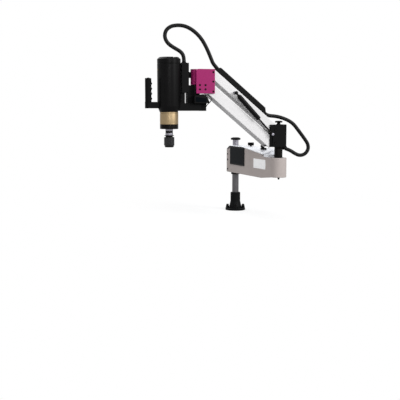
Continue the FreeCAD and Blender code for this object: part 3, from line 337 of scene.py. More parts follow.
def middle(node):
    """The middle of the node's box."""
    low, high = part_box(node)
    return (low + high) / 2


def reach_of(node):
    """The node's radius about its upright axis."""
    low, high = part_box(node)
    return (high.x - low.x) / 2


def hexagon(angle):
    """A hexagon's reach as a share of its corner's."""
    sixth = math.pi / 3
    return math.cos(sixth / 2) / math.cos((angle % sixth) - sixth / 2)


# Screws in millimetres: radius, height, socket's radius and depth, edge, shank's length and radius
SCREW_FORMS = {
    "bolt": (8, 10, 4.6, 5, 1, 50, 5), "collar_screw": (4, 2, 2.2, 1.5, 0.5, 0, 0),
    "side_screw": (5, 3, 2.6, 2, 0.6, 0, 0), "pin_cap": (7.5, 2.2, 3.6, 1.6, 0.8, 0, 0),
    "bracket_screw": (5.2, 2.2, 2.8, 1.7, 0.7, 0, 0), "cover_screw": (3.6, 1.8, 1.9, 1.2, 0.6, 0, 0),
}


def socket_screw(name):
    """A socket-head screw that faces +Z with its seat at the origin, as an object to repeat."""
    head, height, socket, depth, edge, shank, shank_radius = [size * MM for size in SCREW_FORMS[name]]
    section = [(0, -shank), (shank_radius, -shank), (shank_radius, 0)] if shank else [(0, 0)]
    section += [(head, 0), (head, height - edge), (head - edge, height), (socket, height),
                (socket, height - depth), (0, height - depth)]
    first_hex = len(section) - 3
    return placed(name, lathe(name, section, (0, 0, 0), steps=SCREW_STEPS,
                              shape=lambda index, angle: hexagon(angle) if index >= first_hex else 1))


def repeat_tree():
    """Copies of one object on points, each turned to face its point's own direction."""
    tree = bpy.data.node_groups.new("on_each_place", "GeometryNodeTree")
    face = tree.interface
    face.new_socket("Places", in_out="INPUT", socket_type="NodeSocketGeometry")
    face.new_socket("Form", in_out="INPUT", socket_type="NodeSocketObject")
    face.new_socket("Finish", in_out="INPUT", socket_type="NodeSocketMaterial")
    face.new_socket("Made", in_out="OUTPUT", socket_type="NodeSocketGeometry")
    given = add(tree, "NodeGroupInput").outputs
    facing = add(tree, "GeometryNodeInputNamedAttribute", {"Name": "facing"}, data_type="FLOAT_VECTOR")
    aligned = add(tree, "FunctionNodeAlignRotationToVector", links={"Vector": facing.outputs["Attribute"]},
                  axis="Z")
    form = add(tree, "GeometryNodeObjectInfo", links={"Object": given["Form"]})
    copies = add(tree, "GeometryNodeInstanceOnPoints", links={
        "Points": given["Places"], "Instance": form.outputs["Geometry"],
        "Rotation": aligned.outputs["Rotation"]})
    real = add(tree, "GeometryNodeRealizeInstances", links={"Geometry": copies.outputs["Instances"]})
    dressed = add(tree, "GeometryNodeSetMaterial", links={
        "Geometry": real.outputs["Geometry"], "Material": given["Finish"]})
    add(tree, "NodeGroupOutput", links={"Made": dressed.outputs["Geometry"]})
    return tree


ON_EACH_PLACE = repeat_tree()


def repeated(name, form, places, finish, body, slot, *nodes):
    """One piece from copies of a form at (place, facing) pairs. The form itself is removed."""
    points = bpy.data.meshes.new(name + "_places")
    points.from_pydata([place for place, facing in places], [], [])
    attribute = points.attributes.new("facing", "FLOAT_VECTOR", "POINT")
    for index, (place, facing) in enumerate(places):
        attribute.data[index].vector = facing
    holder = placed(name + "_holder", points)
    modifier = holder.modifiers.new("repeat", "NODES")
    modifier.node_group = ON_EACH_PLACE
    sockets = {item.name: item.identifier for item in ON_EACH_PLACE.interface.items_tree}
    modifier[sockets["Form"]] = form
    modifier[sockets["Finish"]] = finish
    mesh = evaluated(holder)
    mesh.name = name
    bpy.data.objects.remove(form)
    return piece(name, mesh, finish, body, slot, *nodes)


# Places that the frame gives
record_joints = {joint["name"]: joint for joint in frame["joints"]}
elbow = Vector(record_joints["arm_swivel"]["pos_m"])
swing_turn = math.atan2(elbow.x, -elbow.y)
SWING = Matrix.Rotation(swing_turn, 4, "Z")


def swung(x, y, z):
    """A point drawn with the horizontal arm along -Y, at the arm's rest angle."""
    return SWING @ Vector((x, y, z))


# Base and column
BOLT_CIRCLE = 48.0 * MM
BOLT_COUNT = 4
BOLT_FIRST_DEGREES = -18.0
BOLT_SEAT = 26.0 * MM
NECK_RADIUS = 18.5 * MM
COLLAR_SCREW_FACING = (-0.6, -0.8, 0)
ARM_TOP = 399.0 * MM


def dress_base():
    eased("base_flange", 1.6 * MM, iron_black, "base", "cast_iron_black")
    places = []
    for index in range(BOLT_COUNT):
        angle = math.radians(BOLT_FIRST_DEGREES + index * 360 / BOLT_COUNT)
        places.append(((BOLT_CIRCLE * math.cos(angle), BOLT_CIRCLE * math.sin(angle), BOLT_SEAT), (0, 0, 1)))
    bolt = socket_screw("bolt")
    repeated("base_socket_bolts", bolt, places, oxide_black, "base", "black_screws", "base_bolts")

    # The column's ground tube, with the bright neck above the arm turned in one with it
    low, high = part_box("column")
    cap_low, cap_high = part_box("column_cap")
    tube, neck = reach_of("column") / MM, NECK_RADIUS / MM
    length = (high.z - low.z) / MM
    neck_length = (high.z - ARM_TOP) / MM
    turned("column_tube", [(0, 0, 0), (tube, 0, 1), (tube, length - neck_length - 1, 0.5),
                           (neck, length - neck_length, 0.5), (0, length - neck_length, 0)],
           (0, 0, low.z), column_steel, "base", "column_steel", "column")
    turned("column_neck", [(0, -2, 0), (neck, -2, 0), (neck, 3, 0.3), (neck - 0.8, 3.8, 0.3),
                           (neck - 0.8, neck_length, 0), (0, neck_length, 0)],
           (0, 0, ARM_TOP), bright_steel, "base", "column_steel")
    radius = reach_of("column_cap") / MM
    height = (cap_high.z - cap_low.z) / MM
    turned("column_cap_disc", [(0, 0, 0), (radius - 3, 0, 1), (radius, 3, 1.5), (radius, height - 4, 3.5),
                               (radius - 12, height, 4), (radius - 16, height, 0.5),
                               (radius - 17, height - 1, 0.5), (0, height - 1, 0)],
           (0, 0, cap_low.z), abs_black, "base", "black_plastic", "column_cap")
    low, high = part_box("column_collar")
    radius = reach_of("column_collar") / MM
    height = (high.z - low.z) / MM
    turned("column_collar_ring", [(tube, 0, 0.6), (radius, 0, 1.5), (radius, height, 1.5),
                                  (tube, height, 0.6)],
           (0, 0, low.z), oxide_black, "base", "column_steel", "column_collar")
    screw = socket_screw("collar_screw")
    facing = Vector(COLLAR_SCREW_FACING)
    seat = facing * radius * MM + Vector((0, 0, (low.z + high.z) / 2))
    repeated("collar_clamp_screw", screw, [(seat, facing)], oxide_black, "base", "column_steel")


# Horizontal arm
ARM_HALF = 45.0 * MM
LABEL_START, LABEL_END = 350.0 * MM, 503.0 * MM
LABEL_LOW, LABEL_HIGH = 287.0 * MM, 340.0 * MM
LABEL_THICK = 0.5 * MM
LABEL_CORNER = 2 * MM
PANEL_START, PANEL_END = 22.0 * MM, 228.0 * MM
PANEL_LOW, PANEL_HIGH = 286.0 * MM, 395.0 * MM
PANEL_RIM = 7.0 * MM
PANEL_THICK = 3.0 * MM
PANEL_CORNER = 4 * MM
WINDOW_CORNER = 3 * MM
WINDOW_RISE = 0.6 * MM
PLATE_EDGE = 0.6 * MM
SIDE_SCREW_Y = 18.0 * MM
UNDER_RADIUS = 6.0 * MM
SIDE_SCREW_HEIGHTS = (254.0 * MM, 312.0 * MM, 346.0 * MM)


def plate_on_arm(name, start, end, low, high, inner, outer, corner, finish, slot, *nodes):
    """A plate with rounded corners on the arm's near face, between two distances off its middle."""
    outline = []
    for y, z, first in ((-start - corner, low + corner, -90), (-start - corner, high - corner, 0),
                        (-end + corner, high - corner, 90), (-end + corner, low + corner, 180)):
        for step in range(ROUND_STEPS + 1):
            angle = math.radians(first + 90 * step / ROUND_STEPS)
            outline.append((y + corner * math.cos(angle), z + corner * math.sin(angle)))
    bm = bmesh.new()
    face = bm.faces.new([bm.verts.new((-inner, y, z)) for y, z in outline])
    raised = bmesh.ops.extrude_face_region(bm, geom=[face])["geom"]
    raised = [part for part in raised if isinstance(part, bmesh.types.BMVert)]
    bmesh.ops.translate(bm, vec=(inner - outer, 0, 0), verts=raised)
    bmesh.ops.recalc_face_normals(bm, faces=bm.faces)
    bm.transform(SWING)
    mesh = baked(name, to_mesh(name, bm), [
        ("BEVEL", {"width": min(PLATE_EDGE, (outer - inner) / 3), "segments": 2, "limit_method": "ANGLE",
                   "angle_limit": EDGE_ANGLE}), ("WEIGHTED_NORMAL", {"keep_sharp": True})])
    return piece(name, mesh, finish, "horizontal_arm", slot, *nodes)


def dress_arm():
    eased("arm_casting", 2.5 * MM, casting_grey, "horizontal_arm", "arm_casting_grey")
    eased("arm_cover", 1.2 * MM, cover_white, "horizontal_arm", "arm_cover_white")
    plate_on_arm("panel_rim", PANEL_START, PANEL_END, PANEL_LOW, PANEL_HIGH, ARM_HALF, ARM_HALF + PANEL_THICK,
                 PANEL_CORNER, abs_black, "panel_black", "side_panel")
    plate_on_arm("panel_window", PANEL_START + PANEL_RIM, PANEL_END - PANEL_RIM, PANEL_LOW + PANEL_RIM,
                 PANEL_HIGH - PANEL_RIM, ARM_HALF + PANEL_THICK / 2, ARM_HALF + PANEL_THICK + WINDOW_RISE,
                 WINDOW_CORNER, acrylic_black, "panel_black")
    plate_on_arm("blank_label", LABEL_START, LABEL_END, LABEL_LOW, LABEL_HIGH, ARM_HALF - LABEL_THICK,
                 ARM_HALF + LABEL_THICK, LABEL_CORNER, vinyl_white, "arm_cover_white")
    places = [(swung(side * ARM_HALF, SIDE_SCREW_Y, z), swung(side, 0, 0)) for side in (-1, 1)
              for z in SIDE_SCREW_HEIGHTS]
    screw = socket_screw("side_screw")
    repeated("arm_socket_screws", screw, places, oxide_black, "horizontal_arm", "black_screws", "arm_screws")
    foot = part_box("arm_screws")[0].z
    under = UNDER_RADIUS / MM
    turned("underside_stud", [(0, 0, 0), (under - 2, 0, 1.5), (under - 1, 5, 0.5), (under, 5.5, 0.5),
                              (under, 10, 0.5), (under - 1.5, 13, 0), (0, 13, 0)],
           swung(0, elbow.y / math.cos(swing_turn) - UNDER_RADIUS, foot), oxide_black, "horizontal_arm",
           "black_screws")
    eased("brake_knob", 1.6 * MM, abs_black, "brake_knob", "black_plastic")
    eased("clamp_lever", 1.2 * MM, abs_black, "clamp_lever", "lever_black")
    eased("power_inlet", 0.8 * MM, abs_black, "horizontal_arm", "black_plastic")


# Elbow and parallelogram
CHEEK_FACE = 50.0 * MM
EDGE_SCREW_INSET = 9.0 * MM
EDGE_SCREW_HEIGHTS = (812.2 * MM, 763.6 * MM, 712.2 * MM)
GROUP_SCREW_PLACES = (-431.6 * MM, -400.6 * MM)
GROUP_SCREW_HEIGHTS = (745.0 * MM, 723.0 * MM)


def dress_elbow():
    eased("elbow_block", 1.8 * MM, powder_black, "elbow", "elbow_black")
    low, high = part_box("elbow_cap")
    radius, height = reach_of("elbow_cap") / MM, (high.z - low.z) / MM
    turned("elbow_cap_disc", [(0, 0, 0), (11, 0, 0), (9, 6, 1), (9, 9.5, 1), (radius - 2, 9.5, 1),
                              (radius, 12.5, 1.5), (radius, height - 3, 2.5), (radius - 8, height, 3),
                              (0, height, 0)],
           (elbow.x, elbow.y, low.z), abs_black, "elbow", "black_plastic", "elbow_cap")
    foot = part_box("elbow_shaft")[0].z
    radius = reach_of("elbow_shaft") / MM
    reach = (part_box("elbow_block")[0].z - foot) / MM
    turned("elbow_pillar", [(0, 0, 0), (radius, 0, 1), (radius, reach - 12, 0.3),
                            (radius - 0.8, reach - 11.4, 0.3), (radius - 0.8, reach - 9.6, 0.3),
                            (radius, reach - 9, 0.3), (radius, reach + 4, 0), (0, reach + 4, 0)],
           (elbow.x, elbow.y, foot), oxide_black, "elbow", "black_ring", "elbow_shaft")
    eased("rear_cable_gland", 1.0 * MM, abs_black, "elbow", "gland_plastic")
    pin_caps("rear_pin_caps", "elbow", record_joints["arm_lift"], record_joints["lower_link_turn"])


def pin_caps(name, body, *joints):
    """Black socket caps on the near ends of a fork's two pins."""
    places = [((joint["pos_m"][0], elbow.y - CHEEK_FACE, joint["pos_m"][2]), (0, -1, 0)) for joint in joints]
    cap = socket_screw("pin_cap")
    repeated(name, cap, places, oxide_black, body, "black_screws")


# Ball studs in millimetres: shank, half of the eye, and the head's edge and crown above the eye's middle
SHANK_RADIUS = 4
EYE_HALF = 5.3
STUD_EDGE = 8
STUD_CROWN = 9.4


def stud(name, place, eye_side, root, head, base, body, node):
    """A ball stud towards -Y: its base on the machine, its shank and the head that keeps the eye."""
    under, over = eye_side - EYE_HALF, eye_side + EYE_HALF
    turned(name, [(0, 0, 0), (SHANK_RADIUS, 0, 0), (SHANK_RADIUS, root, 0), (base, root, 0.8),
                  (base, under, 0.8), (SHANK_RADIUS, under, 0), (SHANK_RADIUS, over, 0), (head, over, 0.6),
                  (head, eye_side + STUD_EDGE, 1.2), (head - 3, eye_side + STUD_CROWN, 1),
                  (0, eye_side + STUD_CROWN, 0)],
           place, bright_steel, body, "pin_steel", node, facing=(0, -1, 0), steps=SMALL_STEPS)


def dress_links():
    eased("upper_link", 2.0 * MM, link_white, "upper_link", "link_white")
    eased("lower_link", 2.0 * MM, link_white, "lower_link", "link_white")
    eased("cable_cover", 4.0 * MM, abs_black, "upper_link", "cover_black", 4)
    eased("front_bracket", 2.5 * MM, magenta, "front_bracket", "bracket_magenta")
    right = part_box("front_bracket")[1].x
    edge = [(right - EDGE_SCREW_INSET, z) for z in EDGE_SCREW_HEIGHTS]
    group = [(x, z) for x in GROUP_SCREW_PLACES for z in GROUP_SCREW_HEIGHTS]
    places = [((x, elbow.y - CHEEK_FACE, z), (0, -1, 0)) for x, z in edge + group]
    places += [((x, elbow.y + CHEEK_FACE, z), (0, 1, 0)) for x, z in group]
    screw = socket_screw("bracket_screw")
    repeated("bracket_socket_screws", screw, places, oxide_black, "front_bracket", "bracket_screws",
             "bracket_screws")


# The gas spring's profiles: (radius, height, rounding) corners in millimetres from the eye's middle
SPRING_TUBE = [(0, 7, 0), (5, 7, 0), (5, 17, 0), (7.5, 17, 0.6), (7.5, 22, 0.6), (12.4, 25, 2.5),
               (12.4, 181, 0.4), (11.8, 181.6, 0.3), (11.8, 183, 0.3), (12.4, 183.6, 0.3), (12.4, 189, 2),
               (8.2, 189, 0.4), (8.2, 183, 0), (8.6, 183, 0), (8.6, 29, 0), (0, 29, 0)]
SPRING_ROD = [(0, 7, 0), (5.5, 7, 0.5), (5.5, 15, 0.8), (4.2, 16.5, 0.3), (4.2, 205, 0.2), (4.9, 205, 0.3),
              (4.9, 215, 0.3), (0, 215, 0)]
SPRING_EYE = [(4.1, -5, 0.4), (8, -5, 1.2), (8, 5, 1.2), (4.1, 5, 0.4)]
SPRING_KNOB = [(0, 0, 0), (9.4, 0, 0.5), (9.4, 2.6, 1.2), (6.5, 4.4, 1.5), (0, 4.4, 0)]
KNOB_OFFSET = 5.2 * MM
UPPER_ROOT = 34 * MM
LOWER_ROOT = 41 * MM


def dress_spring():
    upper = Vector(record_joints["spring_cylinder_turn"]["pos_m"])
    lower = Vector(record_joints["spring_rod_turn"]["pos_m"])
    down = (lower - upper).normalized()
    turned("spring_tube", SPRING_TUBE, upper, shell_black, "spring_cylinder", "spring_black",
           "spring_cylinder", facing=down, steps=MIDDLE_STEPS)
    turned("spring_piston_rod", SPRING_ROD, lower, oxide_black, "spring_rod", "spring_black", "spring_rod",
           facing=-down, steps=SMALL_STEPS)
    for name, place, body in (("spring_upper_eye", upper, "spring_cylinder"),
                              ("spring_lower_eye", lower, "spring_rod")):
        turned(name, SPRING_EYE, place, oxide_black, body, "spring_black", facing=(0, 1, 0),
               steps=SMALL_STEPS)
    stud("spring_upper_ball_stud", Vector((upper.x, elbow.y - UPPER_ROOT, upper.z)), eye_side=24, root=6,
         head=9, base=8.5, body="upper_link", node="spring_upper_stud")
    turned("spring_upper_knob", SPRING_KNOB, Vector((upper.x, upper.y - KNOB_OFFSET, upper.z)), abs_black,
           "upper_link", "black_plastic", facing=(0, -1, 0), steps=SMALL_STEPS)
    stud("spring_lower_ball_stud", Vector((lower.x, elbow.y - LOWER_ROOT, lower.z)), eye_side=17, root=9,
         head=7.5, base=7, body="elbow", node="spring_lower_stud")


# Grip, chuck and cover
GRIP_RADIUS = 16.5 * MM
GRIP_LENGTH = 152
GRIP_FIRST_BUMP = 49.4
GRIP_PITCH = 25.7
GRIP_BUMPS = 4
GRIP_SWELL = 0.25
GRIP_STEPS = 72
BUMP_FULLNESS = 0.7
BUMP_NARROWNESS = 1.5
GRIP_RINGS = [(GRIP_RADIUS - 2 * MM, 0), (GRIP_RADIUS, 1.5 * MM)] + [
    (GRIP_RADIUS, rise * MM) for rise in range(4, GRIP_LENGTH, 2)] + [
    (GRIP_RADIUS, GRIP_LENGTH * MM), (GRIP_RADIUS - 0.7 * MM, (GRIP_LENGTH + 1.7) * MM),
    (GRIP_RADIUS - 2.4 * MM, (GRIP_LENGTH + 2.4) * MM), (0, (GRIP_LENGTH + 2.4) * MM), (0, 0)]
WELL_DEPTH = 10.0 * MM
WELL_GAP = 0.3
WELL_REACH = 20 * MM
FLUTES = 24
FLUTE_STEPS = 8
FLUTE_SHARE = 0.055
FLUTE_FULLNESS = 0.8
# The rings of the sleeve's section between which the flutes run
FLUTED_RINGS = (4, 5)
SLEEVE_BORE = 19.4 * MM
SLEEVE_EDGE = 3.5 * MM
COVER_SCREW_Z = 822.0 * MM
COVER_SCREW_ANGLES = (-174, 96, 6)
GLAND_CONE = [(0, 0, 0), (14, 0, 0.4), (14, 2.4, 0.5), (12.4, 3, 0.3), (11.6, 4.6, 0.3), (11.9, 5, 0.2),
              (11, 6.4, 0.3), (10.4, 8, 0.3), (0, 8, 0)]


def finger_bumps(index, angle):
    """The grip's reach on one ring, swollen between the fingers on the side of the motor."""
    rise = GRIP_RINGS[index][1] / MM
    wave = (rise - GRIP_FIRST_BUMP) / GRIP_PITCH
    if not -0.5 < wave < GRIP_BUMPS - 0.5:
        return 1.0
    swell = max(0.0, math.cos(2 * math.pi * wave)) ** BUMP_FULLNESS
    return 1 + GRIP_SWELL * swell * max(0.0, -math.cos(angle)) ** BUMP_NARROWNESS


def dress_grip():
    low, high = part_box("handle_grip")
    axis = Vector((low.x + GRIP_RADIUS, elbow.y, low.z))
    cutters = []
    for node, finish, slot in (("start_button", button_green, "button_green"),
                               ("reverse_button", button_red, "button_red")):
        foot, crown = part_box(node)
        centre = (foot + crown) / 2
        radius, height = reach_of(node) / MM, (crown.z - foot.z) / MM
        turned(node + "_cap", [(0, 0, 0), (radius, 0, 0.4), (radius, height - 1.6, 1.4),
                               (radius * 0.7, height, 2), (0, height, 0)],
               (centre.x, centre.y, foot.z), finish, node, slot, node, steps=MIDDLE_STEPS)
        bore = (radius + WELL_GAP) * MM
        well = lathe("well", [(0, 0), (bore, 0), (bore, WELL_REACH), (0, WELL_REACH)],
                     (centre.x, centre.y, high.z - WELL_DEPTH), steps=MIDDLE_STEPS)
        cutters.append(placed("well", well))
    form = lathe("grip_form", GRIP_RINGS, axis, shape=finger_bumps, steps=GRIP_STEPS)
    mesh = baked("moulded_grip", form, [("BOOLEAN", {"operation": "DIFFERENCE", "object": cutter})
                                        for cutter in cutters])
    mesh.shade_smooth()
    mesh.set_sharp_from_angle(angle=SHARP_ANGLE)
    piece("moulded_grip", mesh, rubber_black, "head", "grip_rubber", "handle_grip")
    for cutter in cutters:
        bpy.data.objects.remove(cutter)


def flutes(index, angle):
    """The sleeve's reach on one ring, cut back in the flutes."""
    if index not in FLUTED_RINGS:
        return 1
    return 1 - FLUTE_SHARE * max(0.0, math.cos(FLUTES * angle)) ** FLUTE_FULLNESS


def dress_chuck():
    axis = middle("motor")
    low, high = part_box("speed_module")
    radius, height = reach_of("speed_module") / MM, (high.z - low.z) / MM
    turned("gold_module_body", [(30, 0, 0), (radius, 0, 0.8), (radius, 5, 0.2), (radius - 0.5, 5.4, 0.1),
                                (radius - 0.5, 6.2, 0.1), (radius, 6.6, 0.2), (radius, height - 8, 0.3),
                                (radius - 1.2, height - 7, 0.3), (radius - 1.2, height - 4.5, 0.3),
                                (radius, height - 4, 0.3), (radius, height, 0.4), (30, height, 0)],
           (axis.x, axis.y, low.z), gold, "head", "gold_module", "speed_module")
    low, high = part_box("retaining_ring")
    radius, height = reach_of("retaining_ring") / MM, (high.z - low.z) / MM
    turned("retaining_ring_body", [(22, 0, 0.5), (34, 0, 0.5), (35, 1.5, 0.5), (39, 1.5, 0.5), (40, 0, 0.5),
                                   (radius - 2, 0, 1), (radius, 2.5, 1), (radius, height - 6, 0.3),
                                   (radius - 0.7, height - 5.5, 0.2), (radius - 0.7, height - 4.5, 0.2),
                                   (radius, height - 4, 0.3), (radius, height, 0.3), (22, height, 0)],
           (axis.x, axis.y, low.z), oxide_black, "head", "black_ring", "retaining_ring")
    low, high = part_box("spindle")
    radius, height = reach_of("spindle") / MM, (high.z - low.z) / MM
    turned("spindle_shaft", [(0, 0, 0), (radius, 0, 0.5), (radius, 11, 0.5), (radius - 2, 11.6, 0.3),
                             (radius - 2, 22.6, 0.3), (radius, 23.2, 0.5), (radius, height, 1),
                             (0, height, 0)],
           (axis.x, axis.y, low.z), bright_steel, "spindle", "pin_steel", "spindle")
    turned("spindle_dark_ring", [(radius - 2, 12, 0), (radius - 0.7, 12, 0.5), (radius - 0.7, 22.2, 0.5),
                                 (radius - 2, 22.2, 0)],
           (axis.x, axis.y, low.z), oxide_black, "spindle", "black_ring")
    low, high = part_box("chuck_body")
    height = (high.z - low.z) / MM
    turned("chuck_core", [(9.5, 0, 0.8), (21, 0, 0.8), (24, 3, 1.2), (24, 7.7, 0.3), (19, 7.7, 0),
                          (19, height - 3.2, 0), (25.5, height - 3.2, 0.6), (25.5, height, 1), (0, height, 0),
                          (0, 40, 0), (9.5, 40, 0)],
           (axis.x, axis.y, low.z), oxide_black, "spindle", "black_ring", "chuck_body")
    low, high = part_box("chuck_sleeve")
    radius, height = reach_of("chuck_sleeve"), high.z - low.z
    edge = SLEEVE_EDGE
    section = [(SLEEVE_BORE, 0), (radius - edge, 0), (radius - edge / 3, edge / 3), (radius, edge),
               (radius, edge * 1.1), (radius, height - edge * 0.8), (radius, height - edge * 0.7),
               (radius - edge / 5, height - edge / 5), (radius - edge / 2, height), (SLEEVE_BORE, height)]
    mesh = lathe("fluted_sleeve", section, (axis.x, axis.y, low.z), steps=FLUTES * FLUTE_STEPS, shape=flutes)
    piece("fluted_sleeve", mesh, sleeve_steel, "chuck_sleeve", "black_ring", "chuck_sleeve")


def dress_head():
    eased("head_carrier", 2.0 * MM, powder_black, "head", "elbow_black")
    eased("swivel_lock", 1.5 * MM, powder_black, "head", "elbow_black")
    eased("handle_arm", 2.0 * MM, powder_black, "head", "black_plastic")
    eased("rest_handle", 0.5 * MM, rubber_black, "head", "black_plastic", 2)
    eased("control_box", 3.0 * MM, abs_black, "head", "control_case")
    eased("control_screen", 0.4 * MM, acrylic_black, "head", "panel_black", 2)
    eased("box_bracket", 1.0 * MM, powder_black, "head", "black_plastic")
    eased("motor_cover", 1.0 * MM, shell_black, "head", "motor_cover_black", 2)
    eased("motor_cap", 2.0 * MM, shell_black, "head", "motor_cover_black", 3)
    axis = middle("motor")
    radius = reach_of("motor_cover")
    places = []
    for angle in COVER_SCREW_ANGLES:
        facing = Vector((math.cos(math.radians(angle)), math.sin(math.radians(angle)), 0))
        places.append((Vector((axis.x, axis.y, COVER_SCREW_Z)) + facing * radius, facing))
    screw = socket_screw("cover_screw")
    repeated("brass_cover_screws", screw, places, brass, "head", "motor_cover_black")
    low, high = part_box("head_cable_gland")
    foot = ((low.x + high.x) / 2, (low.y + high.y) / 2, low.z)
    turned("head_gland_cone", GLAND_CONE, foot, abs_black, "head", "gland_plastic", "head_cable_gland",
           steps=MIDDLE_STEPS)


# Finishes of the nodes that keep their own form. The front pins' ends lie under the bracket's coat.
NODE_FINISHES = {
    "drive_controller": housing_grey, "column_bearings": bright_steel, "elbow_bearings": bright_steel,
    "swivel_bearings": bright_steel, "spindle_bearings": bright_steel, "swivel_shaft": oxide_black,
    "rear_pins": oxide_black, "front_pins": magenta, "upper_bushes": bronze, "lower_bushes": bronze,
    "motor": housing_grey, "gearbox": housing_grey,
}


def finish_nodes():
    for node, finish in NODE_FINISHES.items():
        mesh = frame["nodes"][node].data
        mesh.materials.clear()
        mesh.materials.append(finish)


# Cables: the routes' points in metres, in the plane of the arm but for the second number
CABLE = 20.0 * MM
LEAD = 4.0 * MM
ARM_PLANE = elbow.y
HEAD_ROUTE = [(-0.5028, 0, 0.867), (-0.5028, 0, 0.8845), (-0.5095, 0, 0.9055), (-0.5265, 0, 0.921),
              (-0.5555, 0, 0.9355), (-0.5855, 0, 0.954), (-0.6015, 0, 0.9755), (-0.6065, 0, 0.9995),
              (-0.5974, 0, 1.0267), (-0.5725, 0, 1.045), (-0.5580, 0, 1.0477)]
LOOP_ROUTE = [(-0.5580, 0, 1.0477), (-0.5380, 0, 1.0515), (-0.5030, 0, 1.0495), (-0.4680, 0, 1.0365),
              (-0.4370, 0, 1.0155), (-0.4090, 0, 0.988), (-0.3860, 0, 0.953), (-0.3643, 0, 0.9094),
              (-0.34647, 0, 0.86702)]
LINK_ROUTE = [(-0.34647, 0, 0.86702), (-0.33074, 0, 0.82977), (-0.05873, 0, 0.60635)]
REAR_ROUTE = [(-0.05873, 0, 0.60635), (-0.0425, 0, 0.593), (-0.0190, 0, 0.5845), (0.010, -0.001, 0.583),
              (0.045, -0.004, 0.5765), (0.0890, -0.008, 0.5600), (0.120, -0.011, 0.540),
              (0.152, -0.014, 0.500), (0.181, -0.017, 0.463), (0.206, -0.019, 0.4286),
              (0.2064, -0.020, 0.3976), (0.187, -0.019, 0.3733), (0.1567, -0.016, 0.3659),
              (0.1277, -0.012, 0.3788), (0.1040, -0.005, 0.396), (0.076, 0, 0.406)]
LEAD_ROUTE = [(-0.403, -0.053, 0.6905), (-0.3955, -0.0535, 0.6945), (-0.386, -0.054, 0.693),
              (-0.3775, -0.0535, 0.687), (-0.371, -0.0525, 0.678), (-0.369, -0.050, 0.668),
              (-0.372, -0.043, 0.659), (-0.3775, -0.033, 0.651), (-0.383, -0.024, 0.644),
              (-0.387, -0.018, 0.637)]
LEAD_BOOT = [(0, -1, 0), (4.2, -1, 0.4), (4.2, 1.5, 0.5), (3.2, 2, 0.2), (3.4, 3.4, 0.2), (2.8, 4, 0.2),
             (3.0, 5.2, 0.2), (2.3, 7.5, 0.3), (0, 7.5, 0)]
SPLINE_STEPS = 12
SHEATH_STEPS = 24


def spline(name, route):
    """The cable's smooth line, with the route's points as its control points."""
    curve = bpy.data.curves.new(name, "CURVE")
    curve.dimensions = "3D"
    line = curve.splines.new("NURBS")
    line.points.add(len(route) - 1)
    for point, (x, y, z) in zip(line.points, route):
        point.co = (x, ARM_PLANE + y, z, 1)
    line.order_u = 3
    line.use_endpoint_u = True
    line.resolution_u = SPLINE_STEPS
    return curve


def path_of(name, route):
    """Points along the route's smooth line."""
    line = evaluated(placed(name + "_line", spline(name + "_line", route)))
    return [vertex.co.copy() for vertex in line.vertices]


def sheath(name, path, diameter):
    """A round tube on a path, with closed ends."""
    bm = bmesh.new()
    rings = []
    side = Vector((0, 1, 0))
    for index, point in enumerate(path):
        ahead = path[min(index + 1, len(path) - 1)] - path[max(index - 1, 0)]
        ahead.normalize()
        side = (side - ahead * side.dot(ahead)).normalized()
        other = ahead.cross(side)
        ring = []
        for step in range(SHEATH_STEPS):
            angle = 2 * math.pi * step / SHEATH_STEPS
            spoke = side * math.cos(angle) + other * math.sin(angle)
            ring.append(bm.verts.new(point + spoke * diameter / 2))
        rings.append(ring)
    for first, second in zip(rings, rings[1:]):
        for step in range(SHEATH_STEPS):
            after = (step + 1) % SHEATH_STEPS
            bm.faces.new([first[step], first[after], second[after], second[step]])
    bm.faces.new(list(reversed(rings[0])))
    bm.faces.new(rings[-1])
    bmesh.ops.recalc_face_normals(bm, faces=bm.faces)
    return to_mesh(name, bm)


def cable_piece(name, route, diameter, node):
    """A cable in the place of its node, and the points of its line."""
    path = path_of(name, route)
    made = placed(name, sheath(name, path, diameter))
    made.data.materials.append(sheath_black)
    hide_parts(node)
    return made, path


def lay_cables():
    made, path = cable_piece("head_cable_run", HEAD_ROUTE, CABLE, "head_cable")
    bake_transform(made)
    made, path = cable_piece("loop_cable_run", LOOP_ROUTE, CABLE, "loop_cable")
    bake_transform(made)
    made = cable_piece("link_cable_run", LINK_ROUTE, CABLE, "link_cable")[0]
    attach(made, "upper_link")
    made, path = cable_piece("rear_cable_run", REAR_ROUTE, CABLE, "rear_cable")
    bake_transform(made)
    made, path = cable_piece("control_lead_run", LEAD_ROUTE, LEAD, "control_lead")
    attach(made, "head")
    for name, end, inward in (("lead_boot_upper", path[0], path[2]), ("lead_boot_lower", path[-1], path[-3])):
        turned(name, LEAD_BOOT, end, abs_black, "head", "gland_plastic", facing=(inward - end).normalized(),
               steps=SCREW_STEPS)


def white_seen(tree):
    """1 for rays that see the background, from the camera or in gloss and glass."""
    light = add(tree, "ShaderNodeLightPath").outputs
    gloss = add(tree, "ShaderNodeMath", links={0: light["Is Camera Ray"], 1: light["Is Glossy Ray"]},
                operation="MAXIMUM")
    return add(tree, "ShaderNodeMath", links={0: gloss.outputs[0], 1: light["Is Transmission Ray"]},
               operation="MAXIMUM").outputs[0]


